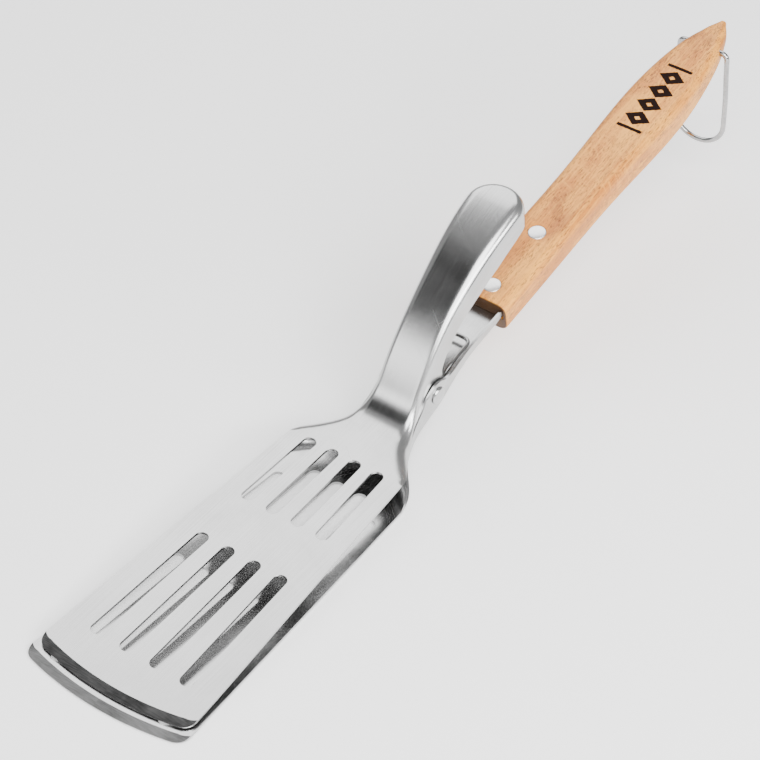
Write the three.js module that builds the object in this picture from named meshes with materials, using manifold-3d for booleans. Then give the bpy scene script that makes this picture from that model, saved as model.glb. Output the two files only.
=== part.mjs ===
// Grill spatula with a spring-closed upper blade and a wooden handle.
// Millimetres, +Z up. The underside of the lower blade is the plane z = 0, +X runs from the
// blade tip to the handle, and the plane y = 0 is the plane of symmetry.
import * as THREE from "three";
import { mergeVertices } from "three/addons/utils/BufferGeometryUtils.js";
import Module from "manifold-3d";

const wasm = await Module();
wasm.setup();

// Sheet metal
const SHEET = 1.2;
const BEVEL_LENGTH = 4;
const BEVEL_DROP = 0.8;
const SLOT_WIDTH = 6;

// Slot rows: count, front end, rear end, pitch at the front, pitch at the rear, outermost slots shorter by
const LOWER_FRONT_SLOTS = [5, -96, -21.5, 13.1, 12.4];
const LOWER_REAR_SLOTS = [5, 4, 52, 12.2, 11.4, 10];
const UPPER_FRONT_SLOTS = [4, -89.8, -23.8, 14.6, 13];
const UPPER_REAR_SLOTS = [4, -0.4, 43.9, 12.4, 11.3];


// Lower blade and shank
const LOWER_TIP_X = -104.3;
const LOWER_HALF_FRONT = 38.5;
const LOWER_HALF_REAR = 29.6;
const LOWER_SHOULDER_X = 53;
const NECK_RISE_X = 62.5;
const EAR_OUTER_HALF = 12.7;
const EAR_RADIUS = 6.6;
const SHANK_HALF = 11;

// Upper blade and thumb lever, drawn in their own frame with the blade's top face at z = 0
const UPPER_ORIGIN = [11.2, 0, 11];
const UPPER_TILT = 4.3;
const UPPER_TIP_X = -109.5;
const UPPER_HALF_FRONT = 37;
const UPPER_HALF_REAR = 28;
const UPPER_SHOULDER_X = 42;
const LEVER_HALF = 11;
const LEVER_HALF_NOSE = 12.3;
const LEVER_NOSE_X = 157.5;

// Pivot and spring
const PIVOT = [101.5, 0, 22.6];
const PIN_RADIUS = 2;
const PIN_HOLE_RADIUS = 2.2;
const PIN_HEAD_RADIUS = 4;
const PIN_HEAD_HEIGHT = 1.6;
const WIRE = 1.8;
const COIL_RADIUS = 3.9;
const COIL_PITCH = 2.15;
const COIL_START = -15;
const COIL_SWEEP = 1005;
const COIL_INNER_Y = 2.6;
const LOOP_REACH = 29.5;
const ARM_LENGTH = 28;

// Handle, drawn in its own frame: x along the top face from the front rivet, z out of it
const HANDLE_ORIGIN = [158.8, 0, 40.2];
const HANDLE_SLOPE = 13.3;
const HANDLE_FRONT = -8.4;
const HANDLE_EDGE_ROUND = 4.5;
const TANG_HALF = 7;
const TANG_DEPTH = 8.2;
const FLANGE_TOP = -2.6;
const TANG_END = 47;
const CHANNEL_SEAT = 9;
const RIVET_SPACING = 35.5;
const RIVET_HEAD_RADIUS = 4;
const RIVET_HEAD_HEIGHT = 1.4;
const RIVET_BODY_RADIUS = 2.2;
const RIVET_POST_RADIUS = 1.2;

// Hanging loop
const LOOP_HOLE_S = 177;
const LOOP_HOLE_DEPTH = 5;
const LOOP_WIRE = 2.5;
const LOOP_HALF = 12.6;
const LOOP_DROP = 56;
const LOOP_LEAN = 8;

const finish = (name, color, roughness, metalness) =>
  new THREE.MeshStandardMaterial({ name, color, roughness, metalness });
const steel = (name) => finish(name, 0xc9cbcc, 0.32, 1);
const springSteel = (name) => finish(name, 0xd6d8da, 0.2, 1);
const wood = (name) => finish(name, 0xd49a62, 0.55, 0);
const aluminium = (name) => finish(name, 0xe8eaec, 0.3, 1);

const radians = (degrees) => THREE.MathUtils.degToRad(degrees);
const vectors = (pairs) => pairs.map(([x, y]) => new THREE.Vector2(x, y));

// ---- Solids -------------------------------------------------------------------------------

function solidOf(geometry) {
  const bare = geometry.clone();
  bare.deleteAttribute("normal");
  bare.deleteAttribute("uv");
  const merged = mergeVertices(bare, 1e-4);
  const vertProperties = new Float32Array(merged.attributes.position.array);
  const triVerts = new Uint32Array(merged.index.array);
  return new wasm.Manifold(new wasm.Mesh({ numProp: 3, vertProperties, triVerts }));
}

function geometryOf(solid) {
  const mesh = solid.getMesh();
  const geometry = new THREE.BufferGeometry();
  geometry.setAttribute("position", new THREE.BufferAttribute(new Float32Array(mesh.vertProperties), 3));
  geometry.setIndex(new THREE.BufferAttribute(new Uint32Array(mesh.triVerts), 1));
  geometry.computeVertexNormals();
  return geometry;
}

function meshOf(name, solid, material) {
  const mesh = new THREE.Mesh(geometryOf(solid), material(name));
  mesh.name = name;
  return mesh;
}

// A plan outline in x, y raised from z = low to z = high.
function raise(shape, low, high) {
  const settings = { depth: high - low, bevelEnabled: false, curveSegments: 8 };
  const geometry = new THREE.ExtrudeGeometry(shape, settings);
  geometry.translate(0, 0, low);
  return solidOf(geometry);
}

// A side outline in x, z spread from y = -half to y = half.
function spread(shape, half) {
  const settings = { depth: 2 * half, bevelEnabled: false, curveSegments: 8 };
  const geometry = new THREE.ExtrudeGeometry(shape, settings);
  geometry.rotateX(Math.PI / 2);
  geometry.translate(0, half, 0);
  return solidOf(geometry);
}

function cylinderAcross(radius, length, x, z, segments = 32) {
  const geometry = new THREE.CylinderGeometry(radius, radius, length, segments);
  geometry.translate(x, 0, z);
  return solidOf(geometry);
}

// A round wire along a curve.
function wireAlong(curve, diameter, steps, sides = 8) {
  const section = new THREE.Shape();
  section.absarc(0, 0, diameter / 2, 0, 2 * Math.PI);
  const settings = { steps, extrudePath: curve, curveSegments: sides / 2, bevelEnabled: false };
  return solidOf(new THREE.ExtrudeGeometry(section, settings));
}

// A plan outline that is the same on both sides of y = 0, from the points of its +y side.
function mirrored(points) {
  const far = [...points].reverse().map(([x, y]) => [x, -y]);
  return new THREE.Shape(vectors([...points, ...far]));
}

function splinePoints(points, count) {
  return new THREE.SplineCurve(vectors(points)).getPoints(count).map((p) => [p.x, p.y]);
}

// ---- Blades -------------------------------------------------------------------------------

// The +y side of a blade outline from its shoulder to the middle of its curved tip.
function bladeSide(tipX, halfFront, halfRear, shoulderX) {
  const sagitta = 4.7;
  const corner = new THREE.Path();
  corner.moveTo(shoulderX, halfRear);
  corner.lineTo(tipX + 11, halfFront);
  corner.quadraticCurveTo(tipX + 5.6, halfFront + 0.4, tipX + sagitta, halfFront - 2.8);
  corner.quadraticCurveTo(tipX + 0.6, halfFront / 2, tipX, 0.01);
  return corner.getPoints(8).map((p) => [p.x, p.y]);
}

function slot(startX, startY, endX, endY) {
  const radius = SLOT_WIDTH / 2;
  const along = Math.atan2(endY - startY, endX - startX);
  const path = new THREE.Path();
  path.absarc(endX - radius, endY, radius, along - Math.PI / 2, along + Math.PI / 2);
  path.absarc(startX + radius, startY, radius, along + Math.PI / 2, along + 1.5 * Math.PI);
  path.closePath();
  return path;
}

// A row of slots that fan out a little towards the tip.
function slotRow(count, startX, endX, startPitch, endPitch, outerShorter = 0) {
  const slots = [];
  for (let i = 0; i < count; i += 1) {
    const k = i - (count - 1) / 2;
    const outermost = i === 0 || i === count - 1;
    const rear = outermost ? endX - outerShorter : endX;
    slots.push(slot(startX, k * startPitch, rear, k * endPitch));
  }
  return slots;
}

// A wedge that takes the top edge off a blade's tip, ground to a bevel.
function tipBevel(tipX, topZ) {
  const side = new THREE.Shape(vectors([
    [tipX - 2, topZ - BEVEL_DROP - 0.4],
    [tipX + BEVEL_LENGTH, topZ],
    [tipX + BEVEL_LENGTH, topZ + 3],
    [tipX - 2, topZ + 3],
  ]));
  return spread(side, 60);
}

// ---- Lower blade: plate, neck with turned-up edges, shank channel and tang ------------------

const SHANK_FLOOR = [
  [62, 0], [74, 3.2], [88, 7.4], [99, 11.2], [108, 16.4], [117, 21.8], [124, 24.9], [135, 27.4],
  [147, 29],
];
const LOWER_NECK = [
  [53, 29.6], [59, 28.4], [65, 25.4], [72.6, 19.9], [82.7, 14.8], [92, 12.7], [112, 12.7],
  [126, 11.8], [147.5, 11],
];
const LOWER_RIM = [[57, 1.2], [66, 5.2], [78, 10.5], [88, 18], [94.5, 25.5]];
const SHANK_RIM = [[108.5, 27.2], [114, 28.2], [122, 31.2], [132, 32.8], [147.5, 34.9]];

function lowerPlate() {
  const side = bladeSide(LOWER_TIP_X, LOWER_HALF_FRONT, LOWER_HALF_REAR, LOWER_SHOULDER_X);
  const neck = splinePoints(LOWER_NECK, 30)
    .filter(([x]) => x > LOWER_SHOULDER_X && x < NECK_RISE_X)
    .reverse();
  const outline = mirrored([...neck, ...side]);
  outline.holes.push(...slotRow(...LOWER_FRONT_SLOTS), ...slotRow(...LOWER_REAR_SLOTS));
  return raise(outline, 0, SHEET).subtract(tipBevel(LOWER_TIP_X, SHEET));
}

function shankOutline(inset) {
  const points = splinePoints(LOWER_NECK, 30).map(([x, y]) => [x, y - inset]);
  return raise(mirrored(points), -5, 60);
}

function shankSide(floorLift, closedTop) {
  const floor = splinePoints(SHANK_FLOOR, 28).map(([x, z]) => [x, z + floorLift]);
  const ear = [];
  for (let i = 0; i <= 10; i += 1) {
    const angle = radians(40 + i * 10.5);
    ear.push([PIVOT[0] + EAR_RADIUS * Math.cos(angle), PIVOT[2] + EAR_RADIUS * Math.sin(angle)]);
  }
  const top = closedTop
    ? [...[...SHANK_RIM].reverse(), ...ear, ...[...LOWER_RIM].reverse()]
    : [[147.5, 60], [40, 60]];
  return new THREE.Shape(vectors([[53, floorLift], ...floor, ...top]));
}

// The straight channel that reaches into the handle, in the handle's frame.
function tang(clearance) {
  const floorTop = -TANG_DEPTH + SHEET + clearance;
  const floorLow = -TANG_DEPTH - clearance;
  const seat = HANDLE_FRONT + CHANNEL_SEAT + clearance;
  const half = SHANK_HALF + clearance;
  const innerHalf = half - SHEET - 2 * clearance;
  const channel = new THREE.Shape(vectors([
    [-half, floorLow], [half, floorLow], [half, FLANGE_TOP + clearance], [innerHalf, FLANGE_TOP + clearance],
    [innerHalf, floorTop], [-innerHalf, floorTop], [-innerHalf, FLANGE_TOP + clearance],
    [-half, FLANGE_TOP + clearance],
  ]));
  const front = new THREE.ExtrudeGeometry(channel, { depth: seat - HANDLE_FRONT + 4, bevelEnabled: false });
  front.rotateX(Math.PI / 2);
  front.rotateZ(Math.PI / 2);
  front.translate(HANDLE_FRONT - 4, 0, 0);
  const strip = new THREE.BoxGeometry(TANG_END + clearance - HANDLE_FRONT, 2 * (TANG_HALF + clearance),
    SHEET + 2 * clearance);
  strip.translate((TANG_END + clearance + HANDLE_FRONT) / 2, 0, -TANG_DEPTH + SHEET / 2);
  return solidOf(front).add(solidOf(strip));
}

function toHandle(solid) {
  const place = new THREE.Matrix4().makeRotationY(radians(-HANDLE_SLOPE));
  place.setPosition(...HANDLE_ORIGIN);
  return solidOf(geometryOf(solid).applyMatrix4(place));
}

function rivetHole(s, radius) {
  const geometry = new THREE.CylinderGeometry(radius, radius, 40, 24);
  geometry.rotateX(Math.PI / 2);
  geometry.translate(s, 0, -7);
  return solidOf(geometry);
}

function lowerBlade() {
  const outer = spread(shankSide(0, true), 40).intersect(shankOutline(0));
  const inner = spread(shankSide(SHEET, false), 40).intersect(shankOutline(SHEET));
  const pinHole = cylinderAcross(PIN_RADIUS + 0.3, 60, PIVOT[0], PIVOT[2]);
  const inHandle = tang(0)
    .subtract(rivetHole(0, RIVET_BODY_RADIUS + 0.3))
    .subtract(rivetHole(RIVET_SPACING, RIVET_BODY_RADIUS + 0.3));
  return lowerPlate().add(outer.subtract(inner)).subtract(pinHole).add(toHandle(inHandle));
}

// ---- Upper blade: plate, neck with turned-down edges and deep-drawn thumb lever --------------

const UPPER_NECK = [
  [42, 28], [46.6, 27.4], [52, 24.6], [57, 21.4], [62.5, 17.9], [68.5, 14.6], [76, 11.9], [84, 11],
];
const LEVER_TOP = [[66, 0], [73, 2.6], [80, 12], [90, 26], [101, 37.5], [115, 48.5], [128, 57.2], [142, 63.6],
  [150, 65.6], [155, 64.6], [157.6, 60]];
const LEVER_RIM = [[157.6, 56.5], [146, 51.4], [133.9, 45], [121.6, 38.1], [109.4, 30.6], [100.5, 22.6],
  [96, 15], [96.6, 8]];
const NECK_RIM = [[86, -1], [76, -4.6], [66, -6.6], [54, -4.6], [46, -1.4]];

function leverSide(inset) {
  const top = new THREE.SplineCurve(vectors(LEVER_TOP));
  const points = [[44, -inset]];
  const steps = 32;
  for (let i = 0; i <= steps; i += 1) {
    const at = top.getPointAt(i / steps);
    const along = top.getTangentAt(i / steps);
    points.push([at.x + along.y * inset, at.y - along.x * inset]);
  }
  if (inset > 0) {
    return new THREE.Shape(vectors([...points, [LEVER_NOSE_X - inset, -30], [44, -30]]));
  }
  const around = [];
  for (let i = 0; i <= 8; i += 1) {
    const angle = radians(20 - i * 17.5);
    const [x, z] = pivotInUpper();
    around.push([x + EAR_RADIUS * Math.cos(angle), z + EAR_RADIUS * Math.sin(angle)]);
  }
  return new THREE.Shape(vectors([...points, ...LEVER_RIM.slice(0, -1), ...around, ...NECK_RIM]));
}

function pivotInUpper() {
  const dx = PIVOT[0] - UPPER_ORIGIN[0];
  const dz = PIVOT[2] - UPPER_ORIGIN[2];
  const tilt = radians(UPPER_TILT);
  return [dx * Math.cos(tilt) + dz * Math.sin(tilt), -dx * Math.sin(tilt) + dz * Math.cos(tilt)];
}

function leverOutline(inset) {
  const side = splinePoints(UPPER_NECK, 16);
  const nose = [];
  const noseCentre = LEVER_NOSE_X - LEVER_HALF_NOSE;
  for (let i = 0; i < 10; i += 1) {
    const angle = radians(90 - i * 10);
    nose.push([noseCentre + LEVER_HALF_NOSE * Math.cos(angle), LEVER_HALF_NOSE * Math.sin(angle)]);
  }
  const points = [...side, [110, LEVER_HALF + 0.3], ...nose, [LEVER_NOSE_X, 0]];
  const centre = noseCentre;
  const moved = points.map(([x, y]) => {
    const beyond = Math.max(x - centre, 0);
    const scale = 1 - inset / Math.hypot(beyond, y);
    return [x > centre ? centre + beyond * scale : x, y * scale];
  });
  return raise(mirrored(moved), -20, 90);
}

function upperPlate() {
  const side = bladeSide(UPPER_TIP_X, UPPER_HALF_FRONT, UPPER_HALF_REAR, UPPER_SHOULDER_X);
  const neck = splinePoints(UPPER_NECK.slice(0, 5), 12).reverse();
  const outline = mirrored([...neck, ...side.slice(1)]);
  outline.holes.push(...slotRow(...UPPER_FRONT_SLOTS), ...slotRow(...UPPER_REAR_SLOTS));
  return raise(outline, -SHEET, 0).subtract(tipBevel(UPPER_TIP_X, 0));
}

function upperBlade() {
  const outer = spread(leverSide(0), 40).intersect(leverOutline(0));
  const inner = spread(leverSide(SHEET), 40).intersect(leverOutline(SHEET));
  const [x, z] = pivotInUpper();
  const pinHole = cylinderAcross(PIN_HOLE_RADIUS, 60, x, z);
  return upperPlate().add(outer.subtract(inner)).subtract(pinHole);
}

// ---- Pivot pin ------------------------------------------------------------------------------

function pivotPin() {
  const headStart = EAR_OUTER_HALF + 0.3;
  const profile = [[0, -headStart - PIN_HEAD_HEIGHT]];
  const dome = 6;
  for (let i = 1; i <= dome; i += 1) {
    const t = (i / dome) * Math.PI / 2;
    profile.push([PIN_HEAD_RADIUS * Math.sin(t), -headStart - PIN_HEAD_HEIGHT * Math.cos(t)]);
  }
  profile.push([PIN_RADIUS, -headStart]);
  const upperHalf = [...profile].reverse().map(([r, y]) => [r, -y]);
  const lathe = new THREE.LatheGeometry(vectors([...profile, ...upperHalf]), 32);
  lathe.translate(PIVOT[0], 0, PIVOT[2]);
  return solidOf(lathe);
}

// ---- Torsion spring -------------------------------------------------------------------------

const aroundPivot = (dx, y, dz) => new THREE.Vector3(PIVOT[0] + dx, y, PIVOT[2] + dz);

// One coil winds outwards along +y from its lever arm to its floor leg.
function coilPoints() {
  const points = [];
  const steps = Math.round(COIL_SWEEP / 25);
  for (let i = 0; i <= steps; i += 1) {
    const turned = (COIL_SWEEP * i) / steps;
    const angle = radians(COIL_START - turned);
    const y = COIL_INNER_Y + (turned / 360) * COIL_PITCH;
    points.push(aroundPivot(COIL_RADIUS * Math.cos(angle), y, COIL_RADIUS * Math.sin(angle)));
  }
  return points;
}

// Both coils and the U-shaped loop between them, which lies on the shank's floor.
function torsionSpring() {
  const coil = coilPoints();
  const legY = COIL_INNER_Y + (COIL_SWEEP / 360) * COIL_PITCH;
  const leg = [
    aroundPivot(7, legY, 1.9),
    aroundPivot(14, legY, 4.4),
    aroundPivot(21, legY, 6.8),
    aroundPivot(LOOP_REACH - 3, legY - 0.3, 7.8),
    aroundPivot(LOOP_REACH - 0.7, legY - 1.4, 8.4),
    aroundPivot(LOOP_REACH, legY - 4, 8.6),
  ];
  const half = [...coil, ...leg];
  const other = [...half].reverse().map((p) => new THREE.Vector3(p.x, -p.y, p.z));
  const path = new THREE.CatmullRomCurve3([...half, ...other], false, "centripetal");
  return wireAlong(path, WIRE, 136);
}

// The arm that runs from a coil up to the lever's underside and turns with it.
function springArm(side) {
  const angle = radians(COIL_START);
  const along = [-Math.sin(angle), Math.cos(angle)];
  const arm = (reach, lift = 0) => aroundPivot(
    COIL_RADIUS * Math.cos(angle) + along[0] * reach - lift,
    side * COIL_INNER_Y,
    COIL_RADIUS * Math.sin(angle) + along[1] * reach,
  );
  const stops = [arm(0.5), arm(ARM_LENGTH / 2), arm(ARM_LENGTH - 4), arm(ARM_LENGTH, 1)];
  const path = new THREE.CatmullRomCurve3(stops, false, "centripetal");
  return wireAlong(path, WIRE, 8);
}

// ---- Wooden handle --------------------------------------------------------------------------

const HANDLE_HALF_WIDTHS = [
  [-8.4, 12.7], [10, 12.6], [40, 12.3], [74, 12.2], [100, 13.1], [123, 13.9], [140, 13.7],
  [155, 12.6], [166, 11.2], [176, 9.3], [184, 7], [190, 4.6], [194.5, 1.6],
];
const HANDLE_THICKNESS = [
  [-8.4, 15.4], [40, 16], [100, 17], [140, 16.6], [170, 13], [188, 8.4], [194.5, 4.6],
];
const HANDLE_TOP = [[-8.4, 0], [40, 0], [100, 0.3], [150, 0], [180, -1.6], [194.5, -3.4]];

function ringAt(s, halfWidth, top, thickness) {
  const round = Math.min(HANDLE_EDGE_ROUND, halfWidth * 0.8, thickness * 0.42);
  const ring = [];
  for (const [signY, signZ, startAngle] of [[1, 1, 0], [-1, 1, 90], [-1, -1, 180], [1, -1, 270]]) {
    for (let i = 0; i <= 4; i += 1) {
      const angle = radians(startAngle + i * 22.5);
      const y = signY * (halfWidth - round) + round * Math.cos(angle);
      const z = top - thickness / 2 + signZ * (thickness / 2 - round) + round * Math.sin(angle);
      ring.push(new THREE.Vector3(s, y, z));
    }
  }
  return ring;
}

// A closed skin through rings of equal count, flat at both ends.
function loft(rings) {
  const count = rings[0].length;
  const positions = rings.flat().flatMap((p) => [p.x, p.y, p.z]);
  const faces = [];
  for (let r = 0; r < rings.length - 1; r += 1) {
    for (let i = 0; i < count; i += 1) {
      const j = (i + 1) % count;
      const a = r * count;
      const b = a + count;
      faces.push(a + i, a + j, b + j, a + i, b + j, b + i);
    }
  }
  const last = (rings.length - 1) * count;
  for (let i = 1; i < count - 1; i += 1) {
    faces.push(0, i + 1, i);
    faces.push(last, last + i, last + i + 1);
  }
  const geometry = new THREE.BufferGeometry();
  geometry.setAttribute("position", new THREE.Float32BufferAttribute(positions, 3));
  geometry.setIndex(faces);
  return geometry;
}

function valueAt(points, s) {
  const next = points.findIndex(([x]) => x >= s);
  if (next <= 0) return points[Math.max(next, 0)][1];
  const [x0, v0] = points[next - 1];
  const [x1, v1] = points[next];
  return v0 + (v1 - v0) * (s - x0) / (x1 - x0);
}

function loopHole(radius) {
  const geometry = new THREE.CylinderGeometry(radius, radius, 60, 20);
  geometry.translate(LOOP_HOLE_S, 0, -LOOP_HOLE_DEPTH);
  return solidOf(geometry);
}

function woodHandle() {
  const width = splinePoints(HANDLE_HALF_WIDTHS, 26);
  const rings = width.map(([s, half]) => {
    return ringAt(s, half, valueAt(HANDLE_TOP, s), valueAt(HANDLE_THICKNESS, s));
  });
  let body = solidOf(loft(rings)).subtract(tang(0.3)).subtract(loopHole(LOOP_WIRE / 2 + 0.25));
  for (const s of [0, RIVET_SPACING]) {
    body = body.subtract(rivetHole(s, RIVET_BODY_RADIUS + 0.3));
    const seatTop = -RIVET_HEAD_HEIGHT - 0.3;
    const seatUnder = -valueAt(HANDLE_THICKNESS, s) + RIVET_HEAD_HEIGHT + 0.3;
    for (const [low, high] of [[seatTop, 5], [-20, seatUnder]]) {
      const radius = RIVET_HEAD_RADIUS + 0.2;
      const seat = new THREE.CylinderGeometry(radius, radius, high - low, 28);
      seat.rotateX(Math.PI / 2);
      seat.translate(s, 0, (low + high) / 2);
      body = body.subtract(solidOf(seat));
    }
  }
  return toHandle(body);
}

// ---- Two-piece rivets -----------------------------------------------------------------------

function rivetLathe(profile, s) {
  const lathe = new THREE.LatheGeometry(vectors(profile), 28);
  lathe.rotateX(Math.PI / 2);
  lathe.translate(s, 0, 0);
  return toHandle(solidOf(lathe));
}

// The lower half: a head with a hollow body that the post of the upper half is driven into.
function rivetSocket(s) {
  const low = -valueAt(HANDLE_THICKNESS, s) + 0.05;
  const bore = RIVET_POST_RADIUS + 0.1;
  return rivetLathe([
    [0, low], [RIVET_HEAD_RADIUS, low], [RIVET_HEAD_RADIUS, low + RIVET_HEAD_HEIGHT],
    [RIVET_BODY_RADIUS, low + RIVET_HEAD_HEIGHT], [RIVET_BODY_RADIUS, -RIVET_HEAD_HEIGHT - 0.4],
    [bore, -RIVET_HEAD_HEIGHT - 0.4], [bore, low + RIVET_HEAD_HEIGHT], [0, low + RIVET_HEAD_HEIGHT],
  ], s);
}

function rivetPost(s) {
  const end = -valueAt(HANDLE_THICKNESS, s) + RIVET_HEAD_HEIGHT + 1;
  return rivetLathe([
    [0, end], [RIVET_POST_RADIUS, end], [RIVET_POST_RADIUS, -RIVET_HEAD_HEIGHT],
    [RIVET_HEAD_RADIUS, -RIVET_HEAD_HEIGHT], [RIVET_HEAD_RADIUS, 0], [RIVET_HEAD_RADIUS - 0.4, 0.25],
    [0, 0.4],
  ], s);
}

// ---- Hanging loop ---------------------------------------------------------------------------

function handlePoint(s, y, depth) {
  const slope = radians(HANDLE_SLOPE);
  const x = HANDLE_ORIGIN[0] + s * Math.cos(slope) + depth * Math.sin(slope);
  const z = HANDLE_ORIGIN[2] + s * Math.sin(slope) - depth * Math.cos(slope);
  return new THREE.Vector3(x, y, z);
}

// A bent wire: both ends turn in to the hole and stop short of each other inside the wood.
function hangingLoop() {
  const hole = handlePoint(LOOP_HOLE_S, 0, LOOP_HOLE_DEPTH);
  const lean = radians(LOOP_LEAN);
  const down = (drop, y) =>
    new THREE.Vector3(hole.x + drop * Math.sin(lean), y, hole.z - drop * Math.cos(lean));
  const half = [down(0, 0.8), down(0, 4), down(0, 8), down(0.3, LOOP_HALF - 2.4), down(1.6, LOOP_HALF - 0.6),
    down(4, LOOP_HALF), down(22, LOOP_HALF + 0.4), down(LOOP_DROP - 13.5, LOOP_HALF + 0.9)];
  for (let i = 1; i < 5; i += 1) {
    const angle = radians(i * 20);
    half.push(down(LOOP_DROP - 13.5 + 12.2 * Math.sin(angle), (LOOP_HALF + 0.9) * Math.cos(angle)));
  }
  half.push(down(LOOP_DROP - 1.25, 0));
  const other = half.slice(0, -1).reverse().map((p) => new THREE.Vector3(p.x, -p.y, p.z));
  const path = new THREE.CatmullRomCurve3([...half, ...other], false, "centripetal");
  return wireAlong(path, LOOP_WIRE, 72);
}

// ---- Assembly -------------------------------------------------------------------------------

const upper = new THREE.Group();
upper.position.set(...UPPER_ORIGIN);
upper.rotation.y = radians(-UPPER_TILT);
upper.add(meshOf("upper_blade", upperBlade(), steel));

const spatula = new THREE.Group();
spatula.add(
  meshOf("lower_blade", lowerBlade(), steel),
  upper,
  meshOf("pivot_pin", pivotPin(), steel),
  meshOf("torsion_spring", torsionSpring(), springSteel),
  meshOf("spring_arm_left", springArm(1), springSteel),
  meshOf("spring_arm_right", springArm(-1), springSteel),
  meshOf("wood_handle", woodHandle(), wood),
  meshOf("front_rivet_post", rivetPost(0), aluminium),
  meshOf("front_rivet_socket", rivetSocket(0), aluminium),
  meshOf("rear_rivet_post", rivetPost(RIVET_SPACING), aluminium),
  meshOf("rear_rivet_socket", rivetSocket(RIVET_SPACING), aluminium),
  meshOf("hanging_loop", hangingLoop(), springSteel),
);

export default spatula;
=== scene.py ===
"""Grill spatula with a spring-closed upper blade: its shapes, finishes, light and camera.

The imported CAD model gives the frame. Every piece here is drawn in millimetres in that frame and is made
into a mesh in metres. The sheet-metal pieces are pressed sheets: a centre line seen from the side, a plan
outline, and a turned edge that follows the outline.
"""

import logging
import math
from dataclasses import dataclass, field
from enum import Enum

import bmesh
import bpy
import numpy as np
from mathutils import Matrix, Vector


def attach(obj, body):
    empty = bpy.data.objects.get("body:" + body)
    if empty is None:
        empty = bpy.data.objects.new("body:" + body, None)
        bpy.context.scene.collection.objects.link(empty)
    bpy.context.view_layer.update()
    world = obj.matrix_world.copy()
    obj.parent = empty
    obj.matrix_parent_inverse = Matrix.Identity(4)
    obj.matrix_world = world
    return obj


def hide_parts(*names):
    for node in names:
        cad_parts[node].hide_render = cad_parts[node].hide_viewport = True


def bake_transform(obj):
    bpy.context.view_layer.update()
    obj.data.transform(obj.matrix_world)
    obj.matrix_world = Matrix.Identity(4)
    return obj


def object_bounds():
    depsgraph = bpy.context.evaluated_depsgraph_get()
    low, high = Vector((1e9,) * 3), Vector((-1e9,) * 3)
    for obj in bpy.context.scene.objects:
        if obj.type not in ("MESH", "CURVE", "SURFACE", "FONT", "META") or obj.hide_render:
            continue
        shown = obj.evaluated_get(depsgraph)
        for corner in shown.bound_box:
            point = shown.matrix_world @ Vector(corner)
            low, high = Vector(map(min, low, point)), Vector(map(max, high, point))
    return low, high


MM = 0.001
LOG = logging.getLogger("grill_spatula")
Point = tuple[float, float]
Corner = tuple[float, float, float]

# Sizes that more than one piece goes by, in millimetres, with angles in degrees.
PIVOT = (101.5, 0.0, 22.6)
EAR_HALF = 12.7
HANDLE_SLOPE = 13.3
NECK_RADIUS = 8.5
BEVEL_END = -60.0
PUNCH_SIDES = 46
WIRE_CREASE = 50.0

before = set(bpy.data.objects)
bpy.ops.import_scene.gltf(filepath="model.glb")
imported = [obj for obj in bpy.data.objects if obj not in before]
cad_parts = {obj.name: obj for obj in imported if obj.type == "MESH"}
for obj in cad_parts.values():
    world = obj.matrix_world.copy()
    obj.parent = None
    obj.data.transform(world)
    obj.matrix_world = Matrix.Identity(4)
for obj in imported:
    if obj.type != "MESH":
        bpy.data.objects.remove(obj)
CAD_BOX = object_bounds()


# ---- Curves -------------------------------------------------------------------------------------


def spline(points: list[Point], count: int, start: Point | None = None,
           end: Point | None = None) -> np.ndarray:
    """A curve with continuous curvature through points.

    Args:
        points: The points that the curve passes.
        count: How many points of the curve to return.
        start: The direction at the first point, or None to leave it free.
        end: The direction at the last point, or None to leave it free.

    Returns:
        The curve's points, one per row.
    """
    known = np.array(points, float)
    knots = np.concatenate([[0.0], np.cumsum(np.linalg.norm(np.diff(known, axis=0), axis=1))])
    size = len(known)
    step = np.diff(knots)
    left = np.zeros((size, size))
    right = np.zeros((size, 2))
    for i in range(1, size - 1):
        left[i, i - 1] = step[i]
        left[i, i] = 2 * (step[i - 1] + step[i])
        left[i, i + 1] = step[i - 1]
        right[i] = 3 * (step[i] * (known[i] - known[i - 1]) / step[i - 1]
                        + step[i - 1] * (known[i + 1] - known[i]) / step[i])
    for row, other, direction, first in ((0, 1, start, 0), (size - 1, size - 2, end, size - 2)):
        left[row, row] = 1.0
        if direction is not None:
            right[row] = np.array(direction, float) / np.linalg.norm(direction)
        else:
            left[row, row] = 2.0
            left[row, other] = 1.0
            right[row] = 3 * (known[first + 1] - known[first]) / step[first]
    slopes = np.linalg.solve(left, right)
    where = np.linspace(0, knots[-1], count)
    index = np.clip(np.searchsorted(knots, where, side="right") - 1, 0, size - 2)
    h = step[index][:, None]
    t = ((where - knots[index]) / step[index])[:, None]
    return ((2 * t**3 - 3 * t**2 + 1) * known[index] + (t**3 - 2 * t**2 + t) * h * slopes[index]
            + (3 * t**2 - 2 * t**3) * known[index + 1] + (t**3 - t**2) * h * slopes[index + 1])


def smoothstep(value: float, low: float, high: float) -> float:
    """Rises smoothly from 0 at low to 1 at high."""
    t = min(max((value - low) / (high - low), 0.0), 1.0)
    return t * t * (3 - 2 * t)


def arc(centre: Point, radius: float, start: float, end: float, count: int) -> list[Point]:
    """Points on a circular arc, with angles in degrees.

    Args:
        centre: The arc's centre.
        radius: The arc's radius.
        start: The angle of the first point.
        end: The angle of the last point.
        count: How many points.

    Returns:
        The points in order.
    """
    angles = np.radians(np.linspace(start, end, count))
    return [(centre[0] + radius * math.cos(a), centre[1] + radius * math.sin(a)) for a in angles]


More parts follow.
